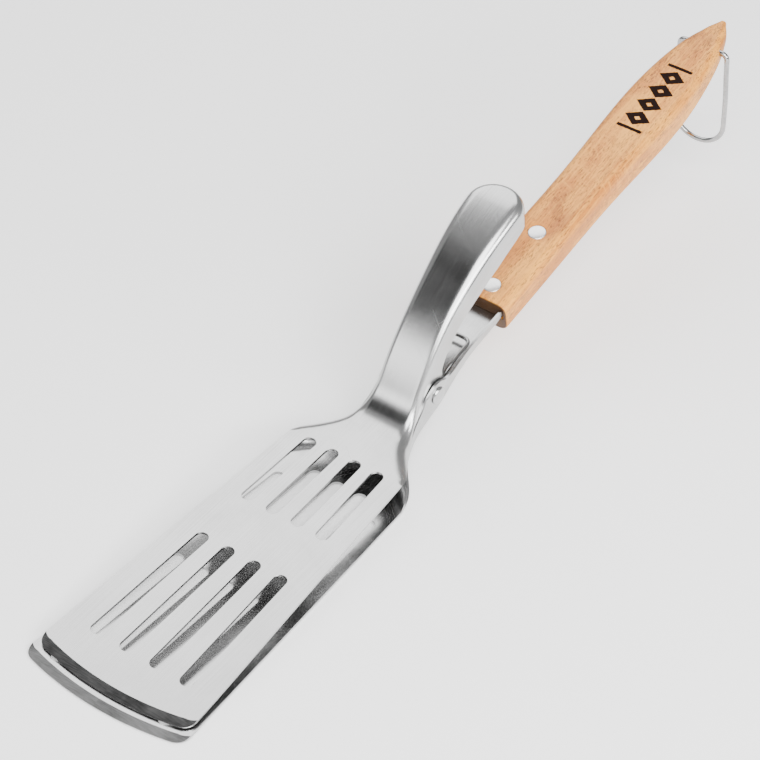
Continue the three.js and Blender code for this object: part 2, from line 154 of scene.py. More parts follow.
class Spine:
    """The side view of a pressed sheet's outer face: a curve in x and z, measured by its length."""

    def __init__(self, points: np.ndarray, outward: int) -> None:
        """Keeps the curve's points.

        Args:
            points: The curve's points in x and z. Its length starts at the first point's x.
            outward: 1 if the outer face looks up, -1 if it looks down.
        """
        self.points = points
        self.outward = outward
        gaps = np.linalg.norm(np.diff(points, axis=0), axis=1)
        self.lengths = points[0, 0] + np.concatenate([[0.0], np.cumsum(gaps)])
        slopes = np.gradient(points, self.lengths, axis=0)
        self.tangents = slopes / np.linalg.norm(slopes, axis=1)[:, None]

    def place(self, station: float, depth: float) -> Point:
        """The x and z of a point at a depth below the outer face.

        Args:
            station: The length along the curve. Past either end it goes straight on.
            depth: The distance inwards from the outer face.

        Returns:
            The point.
        """
        inside = min(max(station, self.lengths[0]), self.lengths[-1])
        x, z = (np.interp(inside, self.lengths, self.points[:, i]) for i in (0, 1))
        tx, tz = (np.interp(inside, self.lengths, self.tangents[:, i]) for i in (0, 1))
        size = math.hypot(tx, tz)
        tx, tz = tx / size, tz / size
        beyond = station - inside
        drop = depth * self.outward
        return x + tx * beyond + tz * drop, z + tz * beyond - tx * drop

    def project(self, points: list[Point]) -> tuple[np.ndarray, np.ndarray]:
        """The stations and depths of points that are given in x and z, in order of station.

        Args:
            points: The points.

        Returns:
            The stations and the depths.
        """
        found = []
        for point in points:
            gaps = np.linalg.norm(self.points - np.array(point), axis=1)
            nearest = int(gaps.argmin())
            found.append((self.lengths[nearest], gaps[nearest]))
        found.sort()
        return np.array([s for s, _ in found]), np.array([d for _, d in found])


# ---- Meshes -------------------------------------------------------------------------------------


def piece(name: str, points: np.ndarray | list, faces: list, material: bpy.types.Material | None = None,
          uv: np.ndarray | None = None) -> bpy.types.Object:
    """A mesh object in the frame, from points in millimetres.

    Args:
        name: The piece's name.
        points: The corners in millimetres.
        faces: The faces as lists of corner numbers.
        material: The piece's finish.
        uv: A position on the flat sheet for each corner, in millimetres.

    Returns:
        The object, linked to the scene, with doubles merged and faces turned outwards.
    """
    mesh = bpy.data.meshes.new(name)
    mesh.from_pydata([tuple(float(c) * MM for c in p) for p in points], [], faces)
    if uv is not None:
        layer = mesh.uv_layers.new(name="sheet")
        corners = np.zeros(len(mesh.loops), int)
        mesh.loops.foreach_get("vertex_index", corners)
        layer.data.foreach_set("uv", (np.array(uv)[corners] * MM).astype(np.float32).ravel())
    shape = bmesh.new()
    shape.from_mesh(mesh)
    bmesh.ops.remove_doubles(shape, verts=shape.verts, dist=2e-6)
    bmesh.ops.dissolve_degenerate(shape, edges=shape.edges, dist=1e-7)
    bmesh.ops.recalc_face_normals(shape, faces=shape.faces)
    shape.to_mesh(mesh)
    shape.free()
    made = bpy.data.objects.new(name, mesh)
    bpy.context.scene.collection.objects.link(made)
    if material:
        mesh.materials.append(material)
    soften(made)
    return made


def soften(made: bpy.types.Object, crease: float = 32.0) -> None:
    """Shades a mesh smooth except at edges sharper than crease, in degrees."""
    made.data.shade_smooth()
    made.data.set_sharp_from_angle(angle=math.radians(crease))


def settle(made: bpy.types.Object) -> None:
    """Turns an object's modifiers into plain mesh and removes them."""
    graph = bpy.context.evaluated_depsgraph_get()
    mesh = bpy.data.meshes.new_from_object(made.evaluated_get(graph))
    made.modifiers.clear()
    old = made.data
    made.data = mesh
    mesh.name = made.name
    bpy.data.meshes.remove(old)


def drop(made: bpy.types.Object) -> None:
    """Removes a helper object and its data."""
    data = made.data
    bpy.data.objects.remove(made)
    bpy.data.meshes.remove(data)


def carve(made: bpy.types.Object, tools: list[bpy.types.Object]) -> None:
    """Cuts the tools out of a piece and removes them.

    Args:
        made: The piece to cut.
        tools: Closed meshes. They may not meet each other.
    """
    for tool in tools:
        cut = made.modifiers.new("cut", "BOOLEAN")
        cut.operation = "DIFFERENCE"
        cut.solver = "EXACT"
        cut.object = tool
    settle(made)
    for tool in tools:
        drop(tool)


def ease_edges(made: bpy.types.Object, width: float, angle: float = 50.0, segments: int = 2) -> None:
    """Rounds the sharp edges of a piece by a small bevel.

    Args:
        made: The piece.
        width: The bevel's width in millimetres.
        angle: Edges that turn more than this, in degrees, are rounded.
        segments: Steps across the rounding.
    """
    bevel = made.modifiers.new("eased", "BEVEL")
    bevel.width = width * MM
    bevel.segments = segments
    bevel.limit_method = "ANGLE"
    bevel.angle_limit = math.radians(angle)
    bevel.use_clamp_overlap = True
    bevel.harden_normals = False
    settle(made)
    soften(made)


def revolved(name: str, profile: list[Point], axis_point: Corner, axis: Vector,
             segments: int = 64, material: bpy.types.Material | None = None) -> bpy.types.Object:
    """A turned piece.

    Args:
        name: The piece's name.
        profile: Radius and height along the axis, starting and ending on the axis.
        axis_point: The point where the height is 0.
        axis: The direction of the axis.
        segments: Steps round the axis.
        material: The piece's finish.

    Returns:
        The closed piece.
    """
    turn = Vector((0, 0, 1)).rotation_difference(axis.normalized()).to_matrix()
    points = []
    for radius, height in profile:
        for k in range(segments):
            angle = 2 * math.pi * k / segments
            local = Vector((radius * math.cos(angle), radius * math.sin(angle), height))
            points.append(tuple(turn @ local + Vector(axis_point)))
    return piece(name, points, ring_faces(len(profile), segments), material)


def ring_faces(rings: int, count: int) -> list[tuple[int, ...]]:
    """The faces between rings of corners that follow one another, each with the same count of corners."""
    faces = []
    for ring in range(rings - 1):
        for k in range(count):
            a, b = ring * count + k, ring * count + (k + 1) % count
            faces.append((a, b, b + count, a + count))
    return faces


def block(name: str, low: Corner, high: Corner,
          place: Matrix) -> bpy.types.Object:
    """A box between two corners in a local frame, as a cutting tool.

    Args:
        name: The tool's name.
        low: The lowest corner.
        high: The highest corner.
        place: The local frame, in millimetres.

    Returns:
        The box.
    """
    ends = list(zip(low, high))
    points = [tuple(place @ Vector((ends[0][i], ends[1][j], ends[2][k])))
              for i in (0, 1) for j in (0, 1) for k in (0, 1)]
    faces = [(0, 1, 3, 2), (4, 6, 7, 5), (0, 4, 5, 1), (2, 3, 7, 6), (0, 2, 6, 4), (1, 5, 7, 3)]
    return piece(name, points, faces)


# ---- Geometry Nodes -----------------------------------------------------------------------------


class Wiring:
    """A node tree under construction, built node by node."""

    def __init__(self, tree: bpy.types.NodeTree) -> None:
        """Keeps the tree."""
        self.tree = tree

    def node(self, kind: str, options: dict | None = None, **links) -> bpy.types.Node:
        """Adds a node.

        Args:
            kind: The node's type.
            options: The node's own settings.
            links: A value or an output socket for each input, by the input's name with _ for spaces, or
                by s and its number.

        Returns:
            The node.
        """
        node = self.tree.nodes.new(kind)
        for name, value in (options or {}).items():
            setattr(node, name, value)
        for name, value in links.items():
            numbered = name[1:].isdigit()
            target = node.inputs[int(name[1:]) if numbered else name.replace("_", " ")]
            if isinstance(value, bpy.types.NodeSocket):
                self.tree.links.new(value, target)
            else:
                target.default_value = value
        return node

    def maths(self, operation: str, a, b=0.0) -> bpy.types.NodeSocket:
        """The result of a sum on two values or sockets."""
        return self.node("ShaderNodeMath", {"operation": operation}, s0=a, s1=b).outputs[0]


class Growing(Wiring):
    """A geometry node tree with named inputs."""

    def __init__(self, name: str) -> None:
        """Starts an empty tree that takes and gives one geometry."""
        super().__init__(bpy.data.node_groups.new(name, "GeometryNodeTree"))
        self.socket("Geometry", "NodeSocketGeometry")
        self.tree.interface.new_socket("Geometry", in_out="OUTPUT", socket_type="NodeSocketGeometry")
        self.entry = self.tree.nodes.new("NodeGroupInput")
        self.exit = self.tree.nodes.new("NodeGroupOutput")

    def socket(self, name: str, kind: str, default: float | int | None = None) -> None:
        """Adds a named input.

        Args:
            name: The input's name.
            kind: Its socket type.
            default: Its starting value.
        """
        made = self.tree.interface.new_socket(name, in_out="INPUT", socket_type=kind)
        if default is not None:
            made.default_value = default

    def close(self, geometry: bpy.types.NodeSocket) -> bpy.types.NodeTree:
        """Ends the tree in Realize Instances and Set Material; the grown piece gets its finish afterwards."""
        real = self.node("GeometryNodeRealizeInstances", Geometry=geometry)
        paint = self.node("GeometryNodeSetMaterial", Geometry=real.outputs[0])
        self.tree.links.new(paint.outputs[0], self.exit.inputs[0])
        return self.tree


def grown(name: str, base: bpy.types.Mesh, tree: bpy.types.NodeTree, values: dict) -> bpy.types.Object:
    """Runs a geometry node tree on a mesh and keeps the result as a plain mesh.

    Args:
        name: The new object's name.
        base: The mesh that the tree starts from.
        tree: The tree.
        values: The tree's inputs by name.

    Returns:
        The object.
    """
    made = bpy.data.objects.new(name, base)
    bpy.context.scene.collection.objects.link(made)
    modifier = made.modifiers.new("grown", "NODES")
    modifier.node_group = tree
    for item in tree.interface.items_tree:
        if item.item_type == "SOCKET" and item.in_out == "INPUT" and item.name in values:
            modifier[item.identifier] = values[item.name]
    settle(made)
    return made


def wire_tree() -> bpy.types.NodeTree:
    """A tree that sweeps a round wire along the edges of a mesh, with closed ends."""
    nodes = Growing("drawn_wire")
    nodes.socket("Diameter", "NodeSocketFloat", 0.002)
    nodes.socket("Sides", "NodeSocketInt", 20)
    line = nodes.node("GeometryNodeMeshToCurve", Mesh=nodes.entry.outputs["Geometry"])
    radius = nodes.maths("MULTIPLY", nodes.entry.outputs["Diameter"], 0.5)
    section = nodes.node("GeometryNodeCurvePrimitiveCircle", Resolution=nodes.entry.outputs["Sides"])
    nodes.tree.links.new(radius, section.inputs["Radius"])
    tube = nodes.node("GeometryNodeCurveToMesh", Curve=line.outputs[0], Profile_Curve=section.outputs[0],
                     Fill_Caps=True)
    smooth = nodes.node("GeometryNodeSetShadeSmooth", Geometry=tube.outputs[0])
    return nodes.close(smooth.outputs[0])


def drawn_wire(name: str, path: list[Corner], diameter: float, tree: bpy.types.NodeTree,
               finish: bpy.types.Material, sides: int = 20) -> bpy.types.Object:
    """A wire along a path.

    Args:
        name: The piece's name.
        path: The path's points in millimetres.
        diameter: The wire's diameter in millimetres.
        tree: The tree from wire_tree.
        finish: The wire's finish.
        sides: Steps round the wire.

    Returns:
        The closed wire.
    """
    line = bpy.data.meshes.new(name)
    steps = [(i, i + 1) for i in range(len(path) - 1)]
    line.from_pydata([tuple(float(c) * MM for c in p) for p in path], steps, [])
    made = grown(name, line, tree, {"Diameter": diameter * MM, "Sides": sides})
    made.data.materials.clear()
    made.data.materials.append(finish)
    soften(made, WIRE_CREASE)
    return made


def punch_tree() -> bpy.types.NodeTree:
    """A tree that makes a row of upright round-ended punches, which fan out from row's end to row's end."""
    nodes = Growing("slot_punches")
    for name, default in (("Front", 0.0), ("Rear", 0.06), ("Front pitch", 0.0146), ("Rear pitch", 0.013),
                          ("Outer shorter", 0.0), ("Width", 0.006), ("Height", 0.03)):
        nodes.socket(name, "NodeSocketFloat", default)
    nodes.socket("Count", "NodeSocketInt", 4)
    given = nodes.entry.outputs
    row = nodes.node("GeometryNodeMeshLine", Count=given["Count"], Offset=(0.0, 0.0, 0.0))
    index = nodes.node("GeometryNodeInputIndex").outputs[0]
    edge = nodes.maths("MULTIPLY", nodes.maths("SUBTRACT", given["Count"], 1.0), 0.5)
    place = nodes.maths("SUBTRACT", index, edge)
    front_y = nodes.maths("MULTIPLY", place, given["Front pitch"])
    rise = nodes.maths("SUBTRACT", nodes.maths("MULTIPLY", place, given["Rear pitch"]), front_y)
    far_out = nodes.maths("ABSOLUTE", place)
    outermost = nodes.maths("GREATER_THAN", far_out, nodes.maths("SUBTRACT", edge, 0.25))
    rear = nodes.maths("SUBTRACT", given["Rear"], nodes.maths("MULTIPLY", outermost, given["Outer shorter"]))
    half_width = nodes.maths("MULTIPLY", given["Width"], 0.5)
    run = nodes.maths("SUBTRACT", nodes.maths("SUBTRACT", rear, given["Front"]), given["Width"])
    low = nodes.maths("MULTIPLY", given["Height"], -0.5)
    start_x = nodes.maths("ADD", given["Front"], half_width)
    start = nodes.node("ShaderNodeCombineXYZ", X=start_x, Y=front_y, Z=low)
    stops = nodes.node("GeometryNodeSetPosition", Geometry=row.outputs[0], Position=start.outputs[0])
    reach = nodes.node("ShaderNodeCombineXYZ", X=run, Y=rise)
    carried = nodes.node("GeometryNodeStoreNamedAttribute", {"data_type": "FLOAT_VECTOR"},
                        Geometry=stops.outputs[0], Name="reach")
    nodes.tree.links.new(reach.outputs[0], carried.inputs["Value"])
    ring = nodes.node("GeometryNodeCurvePrimitiveCircle", Resolution=PUNCH_SIDES)
    nodes.tree.links.new(half_width, ring.inputs["Radius"])
    disc = nodes.node("GeometryNodeFillCurve", {"mode": "NGONS"}, Curve=ring.outputs[0])
    where = nodes.node("GeometryNodeInputPosition").outputs[0]
    ahead = nodes.maths("GREATER_THAN", nodes.node("ShaderNodeSeparateXYZ", Vector=where).outputs[0], 0.0)
    marked = nodes.node("GeometryNodeStoreNamedAttribute", {"data_type": "FLOAT"}, Geometry=disc.outputs[0],
                       Name="ahead")
    nodes.tree.links.new(ahead, marked.inputs["Value"])
    placed = nodes.node("GeometryNodeInstanceOnPoints", Points=carried.outputs[0], Instance=marked.outputs[0])
    real = nodes.node("GeometryNodeRealizeInstances", Geometry=placed.outputs[0])
    read_reach = nodes.node("GeometryNodeInputNamedAttribute", {"data_type": "FLOAT_VECTOR"}, Name="reach")
    read_ahead = nodes.node("GeometryNodeInputNamedAttribute", {"data_type": "FLOAT"}, Name="ahead")
    shift = nodes.node("ShaderNodeVectorMath", {"operation": "SCALE"}, s0=read_reach.outputs[0])
    nodes.tree.links.new(read_ahead.outputs[0], shift.inputs["Scale"])
    flat = nodes.node("GeometryNodeSetPosition", Geometry=real.outputs[0], Offset=shift.outputs[0])
    up = nodes.node("ShaderNodeCombineXYZ", Z=given["Height"])
    raised = nodes.node("GeometryNodeExtrudeMesh", Mesh=flat.outputs[0], Offset=up.outputs[0],
                        Individual=False)
    under = nodes.node("GeometryNodeFlipFaces", Mesh=flat.outputs[0])
    both = nodes.node("GeometryNodeJoinGeometry")
    nodes.tree.links.new(raised.outputs[0], both.inputs[0])
    nodes.tree.links.new(under.outputs[0], both.inputs[0])
    closed = nodes.node("GeometryNodeMergeByDistance", Geometry=both.outputs[0], Distance=1e-6)
    return nodes.close(closed.outputs[0])


@dataclass(frozen=True)
class SlotRow:
    """One row of slots in a blade, in millimetres along and across the sheet."""

    count: int
    front: float
    rear: float
    front_pitch: float
    rear_pitch: float
    outer_shorter: float = 0.0
    width: float = 6.0

    def punches(self, name: str, tree: bpy.types.NodeTree, place: Matrix) -> bpy.types.Object:
        """The row's punches.

        Args:
            name: The tool's name.
            tree: The tree from punch_tree.
            place: The blade's frame, in millimetres.

        Returns:
            One object with a closed solid for each slot.
        """
        values = {"Count": self.count, "Front": self.front * MM, "Rear": self.rear * MM,
                  "Front pitch": self.front_pitch * MM, "Rear pitch": self.rear_pitch * MM,
                  "Outer shorter": self.outer_shorter * MM, "Width": self.width * MM}
        made = grown(name, bpy.data.meshes.new(name), tree, values)
        metres = place.copy()
        metres.translation *= MM
        made.data.transform(metres)
        return made


# ---- Pressed sheets -----------------------------------------------------------------------------


@dataclass
class EdgePoint:
    """One station on the +y side of a sheet's plan outline.

    The edge there is either flat, ground to a bevel, or turned over an arc into a straight flange.
    """

    station: float
    half: float
    bevel: float = 0.0
    radius: float = 3.0
    turn: float = 0.0
    flange: float = 0.0
    normal: Point = (0.0, 1.0)


@dataclass
class PressedSheet:
    """A sheet-metal piece: a spine seen from the side, an outline in plan and its turned edge."""

    spine: Spine
    edge: list[EdgePoint]
    thickness: float = 1.2
    bevel_slope: float = 0.2
    ground_inside: bool = False
    open_end: bool = False
    across: int = 8
    round_steps: int = 9
    flange_steps: int = 4

    def _aim(self) -> None:
        """Gives each edge point the outline's outward normal."""
        where = np.array([(p.station, p.half) for p in self.edge])
        slopes = np.gradient(where, axis=0)
        for point, (ds, dy) in zip(self.edge, slopes):
            size = math.hypot(ds, dy) or 1.0
            point.normal = (-dy / size, ds / size)

    def _profile(self, point: EdgePoint) -> list[tuple[float, float, float, float]]:
        """The edge's section: inset and depth of the outer face, then of the inner face, from flat to rim."""
        rows = []
        for k in range(self.round_steps + self.flange_steps + 1):
            if point.bevel > 0:
                share = min(k / self.round_steps, 1.0)
                inset = point.bevel * (1 - share)
                ground = self.bevel_slope * (point.bevel - inset)
                if self.ground_inside:
                    rows.append((inset, 0.0, inset, self.thickness - ground))
                else:
                    rows.append((inset, ground, inset, self.thickness))
                continue
            turned = point.turn * min(k / self.round_steps, 1.0)
            run = point.flange * max(k - self.round_steps, 0) / self.flange_steps
            inset = point.radius * (math.sin(point.turn) - math.sin(turned)) - run * math.cos(point.turn)
            depth = point.radius * (1 - math.cos(turned)) + run * math.sin(point.turn)
            rows.append((inset, depth, inset + self.thickness * math.sin(turned),
                         depth + self.thickness * math.cos(turned)))
        return rows

    def build(self, name: str, place: Matrix, material: bpy.types.Material) -> bpy.types.Object:
        """Makes the sheet.

        Args:
            name: The piece's name.
            place: The sheet's frame, in millimetres.
            material: The sheet's finish.

        Returns:
            The closed piece, with a map named sheet that gives each point's place on the flat blank.
        """
        self._aim()
        skins: tuple[list, list] = ([], [])
        blanks: tuple[list, list] = ([], [])
        reached = [-1e9, -1e9]
        for point in self.edge:
            profile = self._profile(point)
            for skin, blank, at in ((skins[0], blanks[0], 0), (skins[1], blanks[1], 2)):
                first = profile[0][at]
                reached[at // 2] = max(reached[at // 2] + 1e-3, point.station - point.normal[0] * first)
                inner = (reached[at // 2], max(point.half - point.normal[1] * first, 0.0))
                depth = profile[0][at + 1]
                right = [(inner[0], inner[1] * k / self.across, depth) for k in range(self.across)]
                for row in profile:
                    right.append((point.station - point.normal[0] * row[at],
                                  max(point.half - point.normal[1] * row[at], 0.0), row[at + 1]))
                full = [(s, -y, d) for s, y, d in reversed(right[1:])] + right
                for s, y, d in full:
                    x, z = self.spine.place(s, d)
                    skin.append(tuple(place @ Vector((x, y, z))))
                    blank.append((s, y + math.copysign(d, y)))
        width = 2 * (self.across + self.round_steps + self.flange_steps) + 1
        rows = len(self.edge)
        under = rows * width
        faces = []
        for i in range(rows - 1):
            for j in range(width - 1):
                a, b = i * width + j, (i + 1) * width + j
                faces.append((a, a + 1, b + 1, b))
                faces.append((under + a, under + b, under + b + 1, under + a + 1))
            for j in (0, width - 1):
                a, b = i * width + j, (i + 1) * width + j
                faces.append((a, b, under + b, under + a))
        if self.open_end:
            for j in range(width - 1):
                a = (rows - 1) * width + j
                faces.append((a, a + 1, under + a + 1, under + a))
        return piece(name, skins[0] + skins[1], faces, material, np.array(blanks[0] + blanks[1]))


# ---- Sub-assemblies -----------------------------------------------------------------------------


@dataclass(frozen=True)
class BladeOutline:
    """The plan of a slotted blade from its curved tip to its shoulders."""

    tip: float
    tip_radius: float
    half_front: float
    half_rear: float
    shoulder: float
    corner: float = 5.0
    bevel: float = 4.0

    def _on_tip(self, half: float) -> Point:
        """The point of the tip's curve at a distance from the middle."""
        return self.tip + self.tip_radius - math.sqrt(self.tip_radius**2 - half**2), half

    def edge(self) -> list[EdgePoint]:
        """The edge's points from the middle of the tip round a front corner to the shoulder."""
        straight = self.half_front - self.corner
        edge = [EdgePoint(*self._on_tip(half), bevel=self.bevel) for half in np.linspace(0, straight, 14)]
        first = self._on_tip(straight)
        sharp = self._on_tip(self.half_front)
        last = (sharp[0] + self.corner, self.half_front)
        for share in np.linspace(0, 1, 10)[1:]:
            s, y = (first[i] * (1 - share) ** 2 + 2 * sharp[i] * share * (1 - share) + last[i] * share**2
                    for i in (0, 1))
            edge.append(EdgePoint(s, y, bevel=self.bevel * (1 - share**3)))
        for share in np.linspace(0, 1, 12)[1:]:
            half = self.half_front + (self.half_rear - self.half_front) * share
            edge.append(EdgePoint(last[0] + (self.shoulder - last[0]) * share, half))
        return edge


@dataclass
class Workshop:
    """What the sub-assemblies share: the finishes and the node trees."""

    finishes: dict[str, bpy.types.Material]
    wires: bpy.types.NodeTree
    punches: bpy.types.NodeTree

    def keep(self, made: bpy.types.Object, body: str, nodes: tuple[str, ...]) -> None:
        """Fastens a piece to its body, hides the CAD nodes that it replaces and logs its face count.

        Args:
            made: The finished piece.
            body: The body that it rides on.
            nodes: The CAD nodes that it replaces.
        """
        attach(made, body)
        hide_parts(*nodes)
        LOG.info("%s: %d faces on %s", made.name, len(made.data.polygons), body)


@dataclass
class LowerBlade:
    """The lower sheet: slotted blade, rising shank with turned-up edges, pivot ears and tang."""

    plan: BladeOutline = BladeOutline(
        tip=-104.3, tip_radius=140, half_front=38.5, half_rear=29.6, shoulder=53)
    flat_end: float = 59.5
    ear_radius: float = 6.6
    shank_half: float = 10.9
    tang_half: float = 7.0
    flange_end: float = 9.0
    tang_shoulder: float = 5.0
    tang_end: float = 53.0
    neck: list[Point] = field(default_factory=lambda: [
        (53, 29.6), (59, 28.4), (65, 25.4), (72.6, 19.9), (82.7, 14.8), (92, 12.8), (108, 12.7)])
    floor: list[Point] = field(default_factory=lambda: [
        (60, 0), (74, 3.0), (88, 7.4), (99, 11.2), (108, 16.4), (117, 21.8), (126, 25.3), (138, 27.5),
        (152.5, 30.3)])
    rim: list[Point] = field(default_factory=lambda: [
        (57, 1.2), (66, 5.2), (78, 10.5), (88, 18), (94.5, 25.5)])
    shank_rim: list[Point] = field(default_factory=lambda: [
        (109.5, 27.4), (114, 28.4), (122, 31.2), (134, 33.2), (151, 35.7)])
    slots: tuple[SlotRow, ...] = (
        SlotRow(5, -96, -21.5, 13.1, 12.4), SlotRow(5, 4, 52, 12.2, 11.4, outer_shorter=10))

    def spine(self) -> Spine:
        """The side view of the underside, from the tip to the end of the tang."""
        slope = math.radians(HANDLE_SLOPE)
        rise = spline(self.floor, 220, start=(1, 0), end=(math.cos(slope), math.sin(slope)))
        straight = np.array([(x, 0.0) for x in np.linspace(self.plan.tip, self.flat_end, 60)])
        tang = rise[-1] + np.outer(np.linspace(0.4, 55, 60), (math.cos(slope), math.sin(slope)))
        return Spine(np.vstack([straight, rise, tang]), -1)

    def edge(self, spine: Spine) -> list[EdgePoint]:
        """The plan outline and the turned edge from the tip to the tang."""
        edge = self.plan.edge()
        ear = arc((PIVOT[0], PIVOT[2]), self.ear_radius, 140, 45, 12)
        stations, depths = spine.project([*self.rim, *ear, *self.shank_rim])
        outline = spline(self.neck, 34)
        front = float(spine.project([self.floor[-1]])[0][0])
        for s, y in outline[1:]:
            edge.append(EdgePoint(s, y))
        for s in np.arange(edge[-1].station + 2, front + self.flange_end, 2.0):
            narrow = smoothstep(s, self.neck[-1][0], front)
            edge.append(EdgePoint(s, EAR_HALF + (self.shank_half - EAR_HALF) * narrow))
        for share in np.linspace(0, 1, 6)[1:]:
            half = self.shank_half - (self.shank_half - self.tang_half) * smoothstep(share, 0, 1)
            edge.append(EdgePoint(front + self.flange_end + self.tang_shoulder * share, half))
        edge.append(EdgePoint(front + self.tang_end, self.tang_half))
        fade = front + self.flange_end - 0.5
        shoulder = self.plan.shoulder
        for point in edge:
            if point.station <= shoulder or point.bevel > 0:
                continue
            depth = float(np.interp(point.station, stations, depths))
            depth = max(depth, 0.0) * smoothstep(point.station, shoulder - 0.5, shoulder + 5)
            depth *= 1 - smoothstep(point.station, fade, fade + self.tang_shoulder)
            turn_edge(point, depth, NECK_RADIUS - 5.5 * smoothstep(point.station, 62, 84))
        return edge

    def make(self, shop: Workshop) -> None:
        """Builds the lower sheet."""
        spine = self.spine()
        place = Matrix.Identity(4)
        sheet = PressedSheet(spine, self.edge(spine), ground_inside=True, open_end=True)
        made = sheet.build("lower_blade_sheet", place, shop.finishes["shank"])
        punches = [row.punches(f"lower_punch_{i}", shop.punches, place) for i, row in enumerate(self.slots)]
        carve(made, punches)
        # The bevel's darker grey finish is a painted reflection.
        finish_sheet(made, place, shop.finishes["ground"])
        shop.keep(made, "frame", ("lower_blade",))


def turn_edge(point: EdgePoint, depth: float, radius: float = 3.0) -> None:
    """Turns the sheet's edge down to a depth: an arc first, and a straight flange past a full turn."""
    point.radius = radius
    if depth < radius:
        point.turn = math.acos(max(1 - depth / radius, -1.0))
        point.flange = 0.0
    else:
        point.turn = math.pi / 2
        point.flange = depth - radius


def finish_sheet(made: bpy.types.Object, place: Matrix, ground: bpy.types.Material) -> None:
    """Gives a sheet's bevel its own finish, eases its cut edges and keeps its flats flat in the light.

    Args:
        made: The sheet.
        place: The sheet's frame, in millimetres.
        ground: The finish of the bevel, whose darker grey is a painted reflection.
    """
    made.data.materials.append(ground)
    turn = place.to_3x3().inverted()
    back = place.inverted()
    for face in made.data.polygons:
        along = (back @ (face.center / MM)).x
        tilt = (turn @ face.normal).z
        if along < BEVEL_END and 0.9 < tilt < 0.993:
            face.material_index = 1
    ease_edges(made, 0.15)
    shape = bmesh.new()
    shape.from_mesh(made.data)
    for edge in shape.edges:
        if len({face.material_index for face in edge.link_faces}) > 1:
            edge.smooth = False
    shape.to_mesh(made.data)
    shape.free()
    weighted = made.modifiers.new("flats", "WEIGHTED_NORMAL")
    weighted.keep_sharp = True
    settle(made)


@dataclass
class UpperBlade:
    """The upper sheet: slotted blade, neck with turned-down edges and the pressed thumb lever."""

    origin: Corner = (11.2, 0.0, 11.0)
    tilt: float = 4.3
    pivot: Point = (90.9, 4.8)
    plan: BladeOutline = BladeOutline(
        tip=-109.5, tip_radius=138, half_front=37, half_rear=28, shoulder=42)
    flat_end: float = 63.5
    ear_radius: float = 6.6
    neck: list[Point] = field(default_factory=lambda: [
        (42, 28), (46.6, 27.4), (52, 24.6), (57, 21.4), (62.5, 17.9), (68.5, 14.6), (76, 11.9), (84, 11.0)])
    lever: list[Point] = field(default_factory=lambda: [
        (64, 0), (73, 2.8), (80, 11.4), (90, 25.6), (101, 37.5), (115, 48.8), (128, 57.2), (142, 63.6),
        (151, 66.2), (160, 67.2)])
    rim: list[Point] = field(default_factory=lambda: [
        (46, -1.2), (52, -2.7), (57, -4.0), (68.5, -6.0), (76, -4.8), (84, -2.0)])
    lever_rim: list[Point] = field(default_factory=lambda: [
        (96, 15), (100.5, 22.6), (109.4, 30.6), (121.6, 38.1), (133.9, 45), (146, 51.4), (157.6, 56.0)])
    half_base: float = 11.0
    half_nose: float = 13.2
    slots: tuple[SlotRow, ...] = (
        SlotRow(4, -89.8, -23.8, 14.6, 13.0), SlotRow(4, -0.4, 43.9, 12.4, 11.3))

    def place(self) -> Matrix:
        """The blade's frame, in millimetres."""
        return Matrix.Translation(self.origin) @ Matrix.Rotation(math.radians(-self.tilt), 4, "Y")

    def spine(self) -> Spine:
        """The side view of the top face, from the tip to the lever's nose."""
        rise = spline(self.lever, 320, start=(1, 0))
        straight = np.array([(x, 0.0) for x in np.linspace(self.plan.tip, self.flat_end, 60)])
        return Spine(np.vstack([straight, rise]), 1)

    def edge(self, spine: Spine) -> list[EdgePoint]:
        """The plan outline and the turned edge from the tip round the lever's nose."""
        edge = self.plan.edge()
        under = arc(self.pivot, self.ear_radius, 250, 340, 6)
        stations, depths = spine.project([*self.rim, *under, *self.lever_rim])
        nose = spine.lengths[-1]
        centre = nose - self.half_nose
        for s, y in spline(self.neck, 30)[1:]:
            edge.append(EdgePoint(s, y))
        for s in np.arange(85.5, centre, 2.2):
            wider = (self.half_nose - self.half_base) * smoothstep(s, 110, 172)
            edge.append(EdgePoint(s, self.half_base + wider))
        for s, y in arc((centre, 0), self.half_nose, 90, 0, 20):
            edge.append(EdgePoint(s, y))
        for point in edge:
            if point.station <= self.plan.shoulder or point.bevel > 0:
                continue
            depth = float(np.interp(point.station, stations, depths))
            depth *= smoothstep(point.station, self.plan.shoulder, self.plan.shoulder + 4)
            radius = NECK_RADIUS - 5.3 * smoothstep(point.station, 54, 80)
            turn_edge(point, depth, radius + 1.6 * smoothstep(point.station, 80, 160))
        return edge

    def make(self, shop: Workshop) -> None:
        """Builds the upper sheet."""
        spine = self.spine()
        place = self.place()
        sheet = PressedSheet(spine, self.edge(spine))
        made = sheet.build("upper_blade_sheet", place, shop.finishes["satin"])
        punches = [row.punches(f"upper_punch_{i}", shop.punches, place) for i, row in enumerate(self.slots)]
        carve(made, punches)
        # The bevel's near-black finish is a painted reflection.
        finish_sheet(made, place, shop.finishes["painted_reflection_bevel"])
        shop.keep(made, "clamp", ("upper_blade",))


@dataclass
class PivotPin:
    """The rivet that the upper blade turns on, with a low domed head on each ear."""

    radius: float = 2.0
    head_radius: float = 4.0
    head_height: float = 1.6

    def make(self, shop: Workshop) -> None:
        """Builds the pin."""
        start = EAR_HALF + 0.02
        dome = [(self.head_radius * math.sin(a), start + self.head_height * math.cos(a) ** 0.8)
                for a in np.linspace(0, math.pi / 2, 14)]
        rim = [(self.head_radius, start + 0.12), (self.head_radius - 0.12, start)]
        profile = [*dome[:-1], *rim, (self.radius, start)]
        mirror = [(r, -y) for r, y in reversed(profile)]
        made = revolved("pivot_rivet", [*profile, *mirror], PIVOT, Vector((0, 1, 0)), 56,
                        shop.finishes["bright"])
        shop.keep(made, "frame", ("pivot_pin",))


